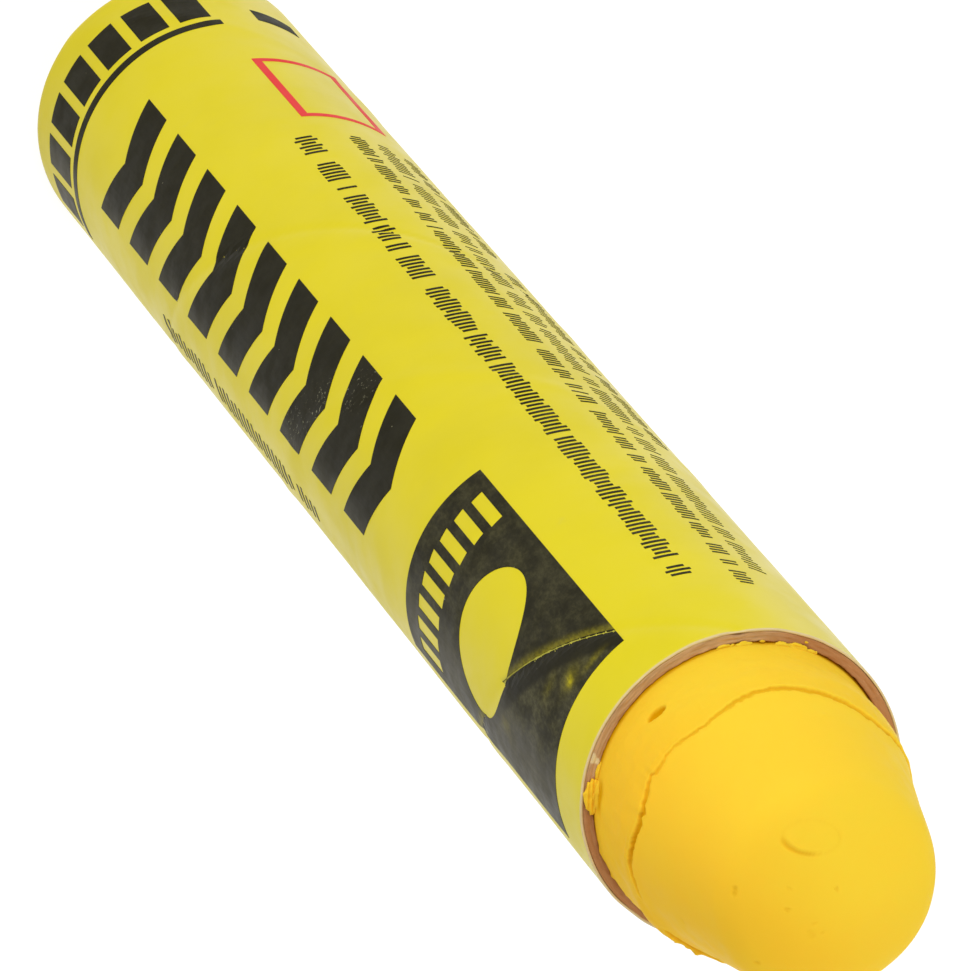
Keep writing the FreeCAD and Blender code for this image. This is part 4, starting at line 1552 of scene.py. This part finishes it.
MIDDLE_HEIGHT = 60.0
LAMP_DISTANCE_M = 0.7
LAMP_SIZE_M = 0.5
FLOOR_HALF_M = 1.5
FLOOR_GLOW = 0.82
# Lamps: (name, setting that holds its power, direction from the marker)
LAMPS = (
    ("Key_Lamp", "key_power", (-0.39, -0.78, 0.49)),
    ("Fill_Lamp", "fill_power", (0.8, -0.4, 0.45)),
    ("Back_Lamp", "back_power", (-0.1, 0.8, 0.6)),
)
CAMERA_PLACE_M = (0.0, -0.2757417, 0.5773424)
CAMERA_RIGHT = (-0.7659, 0.5672, 0.3028)
CAMERA_DOWN = (0.6430, 0.6754, 0.3611)
CAMERA_LENS = 395.09
WHITE = (1.0, 1.0, 1.0, 1.0)


def seen_share(nodes):
    """1 where a camera, mirror or glass ray looks, and 0 where light travels."""
    path = nodes.add("ShaderNodeLightPath").outputs
    seen = nodes.math("MAXIMUM", path["Is Camera Ray"], path["Is Glossy Ray"])
    return nodes.math("MAXIMUM", seen, path["Is Transmission Ray"])


def add_floor():
    """Pale floor, seen as white apart from the marker's soft shadow."""
    half = FLOOR_HALF_M / MM
    corners = [(-half, -half, 0.0), (half, -half, 0.0), (half, half, 0.0), (-half, half, 0.0)]
    floor = add_object("Floor", new_mesh("Floor", corners, [(0, 1, 2, 3)]))
    material = bpy.data.materials.new("Pale_Floor")
    nodes = emptied(material)
    plain = nodes.out("ShaderNodeBsdfDiffuse", {"Color": (0.8, 0.8, 0.8, 1.0)})
    shaded = nodes.out("ShaderNodeBsdfDiffuse", {"Color": (0.30, 0.30, 0.30, 1.0)})
    glow = nodes.out("ShaderNodeEmission", {"Color": WHITE, "Strength": FLOOR_GLOW})
    shown = nodes.out("ShaderNodeAddShader", {0: shaded, 1: glow})
    both = nodes.out("ShaderNodeMixShader", {0: seen_share(nodes), 1: plain, 2: shown})
    nodes.add("ShaderNodeOutputMaterial", {"Surface": both})
    floor.data.materials.append(material)


def add_surroundings(studio):
    world = bpy.data.worlds.new("Studio")
    bpy.context.scene.world = world
    nodes = emptied(world)
    strength = nodes.steps(seen_share(nodes), 0.0, 1.0, studio.ambient, 1.0)
    back = nodes.out("ShaderNodeBackground", {"Color": WHITE, "Strength": strength})
    nodes.add("ShaderNodeOutputWorld", {"Surface": back})


def add_lamp(name, direction, power_value):
    lamp = bpy.data.lights.new(name, "AREA")
    lamp.shape = "SQUARE"
    lamp.size = LAMP_SIZE_M
    lamp.energy = power_value
    holder = add_object(name, lamp)
    direction = Vector(direction).normalized()
    holder.location = Vector((0.0, 0.0, MIDDLE_HEIGHT * MM)) + direction * LAMP_DISTANCE_M
    holder.rotation_euler = direction.to_track_quat("Z", "Y").to_euler()


def add_camera():
    """Long lens that looks down on the standing marker from the front."""
    lens = bpy.data.cameras.new("Camera")
    lens.sensor_width = 36.0
    lens.lens = CAMERA_LENS
    lens.clip_start = 0.05
    lens.clip_end = 10.0
    right = Vector(CAMERA_RIGHT).normalized()
    down = Vector(CAMERA_DOWN)
    down = (down - right * down.dot(right)).normalized()
    turn = Matrix((right, -down, -right.cross(down))).transposed()
    camera = add_object("Camera", lens)
    camera.matrix_world = Matrix.Translation(Vector(CAMERA_PLACE_M)) @ turn.to_4x4()
    bpy.context.scene.camera = camera


# Operators

def settings():
    scene = bpy.context.scene
    return scene.marker_sizes, scene.marker_colours, scene.marker_studio


def finish_named(name, make, *given):
    """Material of this name, made when it is first asked for."""
    return reused(bpy.data.materials, name, make, *given)


class MARKER_OT_stage(bpy.types.Operator):
    """Add the floor, the soft lamps, the surroundings and the camera"""
    bl_idname = "paint_marker.stage"
    bl_label = "Add Stage"

    def execute(self, context):
        studio = settings()[2]
        add_floor()
        add_surroundings(studio)
        for name, setting, direction in LAMPS:
            add_lamp(name, direction, getattr(studio, setting))
        add_camera()
        context.scene.view_settings.view_transform = "Standard"
        return {"FINISHED"}


class MARKER_OT_sleeve(bpy.types.Operator):
    """Add the spiral-wound cardboard sleeve"""
    bl_idname = "paint_marker.sleeve"
    bl_label = "Add Sleeve"

    def execute(self, context):
        sizes, colours, _ = settings()
        material = finish_named("Kraft_Card", card_material, colours)
        piece = add_object("Cardboard_Sleeve", cardboard_sleeve_mesh())
        set_smooth(roll_up(piece, sizes, material, {
            "Radius": SLEEVE_RADIUS * MM, "Relief Depth": SLEEVE_WALL * MM,
            "Seam Dip": 0.11 * MM, "Ripple": 0.0,
        }))
        finish_piece(piece, "kraft_card", material, "cardboard_sleeve")
        return {"FINISHED"}


class MARKER_OT_label(bpy.types.Operator):
    """Add the paper label, lapped at the back"""
    bl_idname = "paint_marker.label"
    bl_label = "Add Label"

    def execute(self, context):
        sizes, colours, _ = settings()
        material = finish_named("Label_Paper", label_material, colours, sizes)
        piece = add_object("Paper_Label", paper_label_mesh())
        set_smooth(roll_up(piece, sizes, material, {
            "Relief Depth": LABEL_THICKNESS * MM, "Lap Rise": (LABEL_THICKNESS - LAP_SUNK) * MM,
            "Lap Edge": -180.0 + HALF_LAP_ANGLE, "Lap Ramp": LAP_RAMP_ANGLE,
        }))
        finish_piece(piece, "label_paper", material, "paper_label")
        return {"FINISHED"}


class MARKER_OT_black_print(bpy.types.Operator):
    """Add the black print: chevrons, panel, tail marks and small print"""
    bl_idname = "paint_marker.black_print"
    bl_label = "Add Black Print"

    def execute(self, context):
        sizes, colours, _ = settings()
        inks = (colours.ink, colours.rubbed_ink, colours.label)
        material = finish_named("Black_Ink", ink_material, "Black_Ink", *inks, sizes)
        drawn = [*chevron_loops(), panel_loops(sizes), *tail_loops()]
        shapes = [fill(loops) for loops in drawn] + [small_print(material)]
        add_print("Black_Print", joined(shapes), sizes, material, "black_ink", "black_print")
        return {"FINISHED"}


class MARKER_OT_red_print(bpy.types.Operator):
    """Add the red print: an open frame"""
    bl_idname = "paint_marker.red_print"
    bl_label = "Add Red Print"

    def execute(self, context):
        sizes, colours, _ = settings()
        inks = (colours.red, colours.red, colours.label)
        material = finish_named("Red_Ink", ink_material, "Red_Ink", *inks, sizes)
        add_print("Red_Print", fill(red_frame_loops()), sizes, material, "red_ink", "red_print")
        return {"FINISHED"}


class MARKER_OT_paint(bpy.types.Operator):
    """Add the stick of paint with its collar, flash edge and nose"""
    bl_idname = "paint_marker.paint"
    bl_label = "Add Paint Stick"

    def execute(self, context):
        sizes, colours, _ = settings()
        piece = add_object("Paint_Stick", paint_stick_mesh(sizes))
        set_smooth(piece.data)
        material = finish_named("Solid_Paint", paint_material, colours)
        finish_piece(piece, "solid_paint", material, "paint_stick")
        return {"FINISHED"}


class MARKER_OT_crumbs(bpy.types.Operator):
    """Add the crumbs of paint that were squeezed over the rim"""
    bl_idname = "paint_marker.crumbs"
    bl_label = "Add Crumbs"

    def execute(self, context):
        sizes, colours, _ = settings()
        material = finish_named("Solid_Paint", paint_material, colours)
        piece = add_object("Paint_Crumbs", crumbs_mesh(sizes, material))
        set_smooth(piece.data)
        finish_piece(piece, "solid_paint", material)
        return {"FINISHED"}


OPERATORS = (
    MARKER_OT_stage,
    MARKER_OT_sleeve,
    MARKER_OT_label,
    MARKER_OT_black_print,
    MARKER_OT_red_print,
    MARKER_OT_paint,
    MARKER_OT_crumbs,
)


class VIEW3D_PT_paint_marker(bpy.types.Panel):
    """Sizes, colours and steps of the paint marker"""
    bl_label = "Paint Marker"
    bl_space_type = "VIEW_3D"
    bl_region_type = "UI"
    bl_category = "Paint Marker"

    def draw(self, context):
        for group in settings():
            column = self.layout.column()
            for name in group.bl_rna.properties.keys():
                if name not in ("rna_type", "name"):
                    column.prop(group, name)
        for operator in OPERATORS:
            self.layout.operator(operator.bl_idname)


GROUPS = (
    ("marker_sizes", MarkerSizes),
    ("marker_colours", MarkerColours),
    ("marker_studio", MarkerStudio),
)


def register():
    for name, group in GROUPS:
        bpy.utils.register_class(group)
        setattr(bpy.types.Scene, name, PointerProperty(type=group))
    for operator in OPERATORS:
        bpy.utils.register_class(operator)
    bpy.utils.register_class(VIEW3D_PT_paint_marker)


def unregister():
    bpy.utils.unregister_class(VIEW3D_PT_paint_marker)
    for operator in reversed(OPERATORS):
        bpy.utils.unregister_class(operator)
    for name, group in reversed(GROUPS):
        delattr(bpy.types.Scene, name)
        bpy.utils.unregister_class(group)


def main():
    register()
    for operator in OPERATORS:
        group, name = operator.bl_idname.split(".")
        getattr(getattr(bpy.ops, group), name)()


if __name__ == "__main__":
    main()
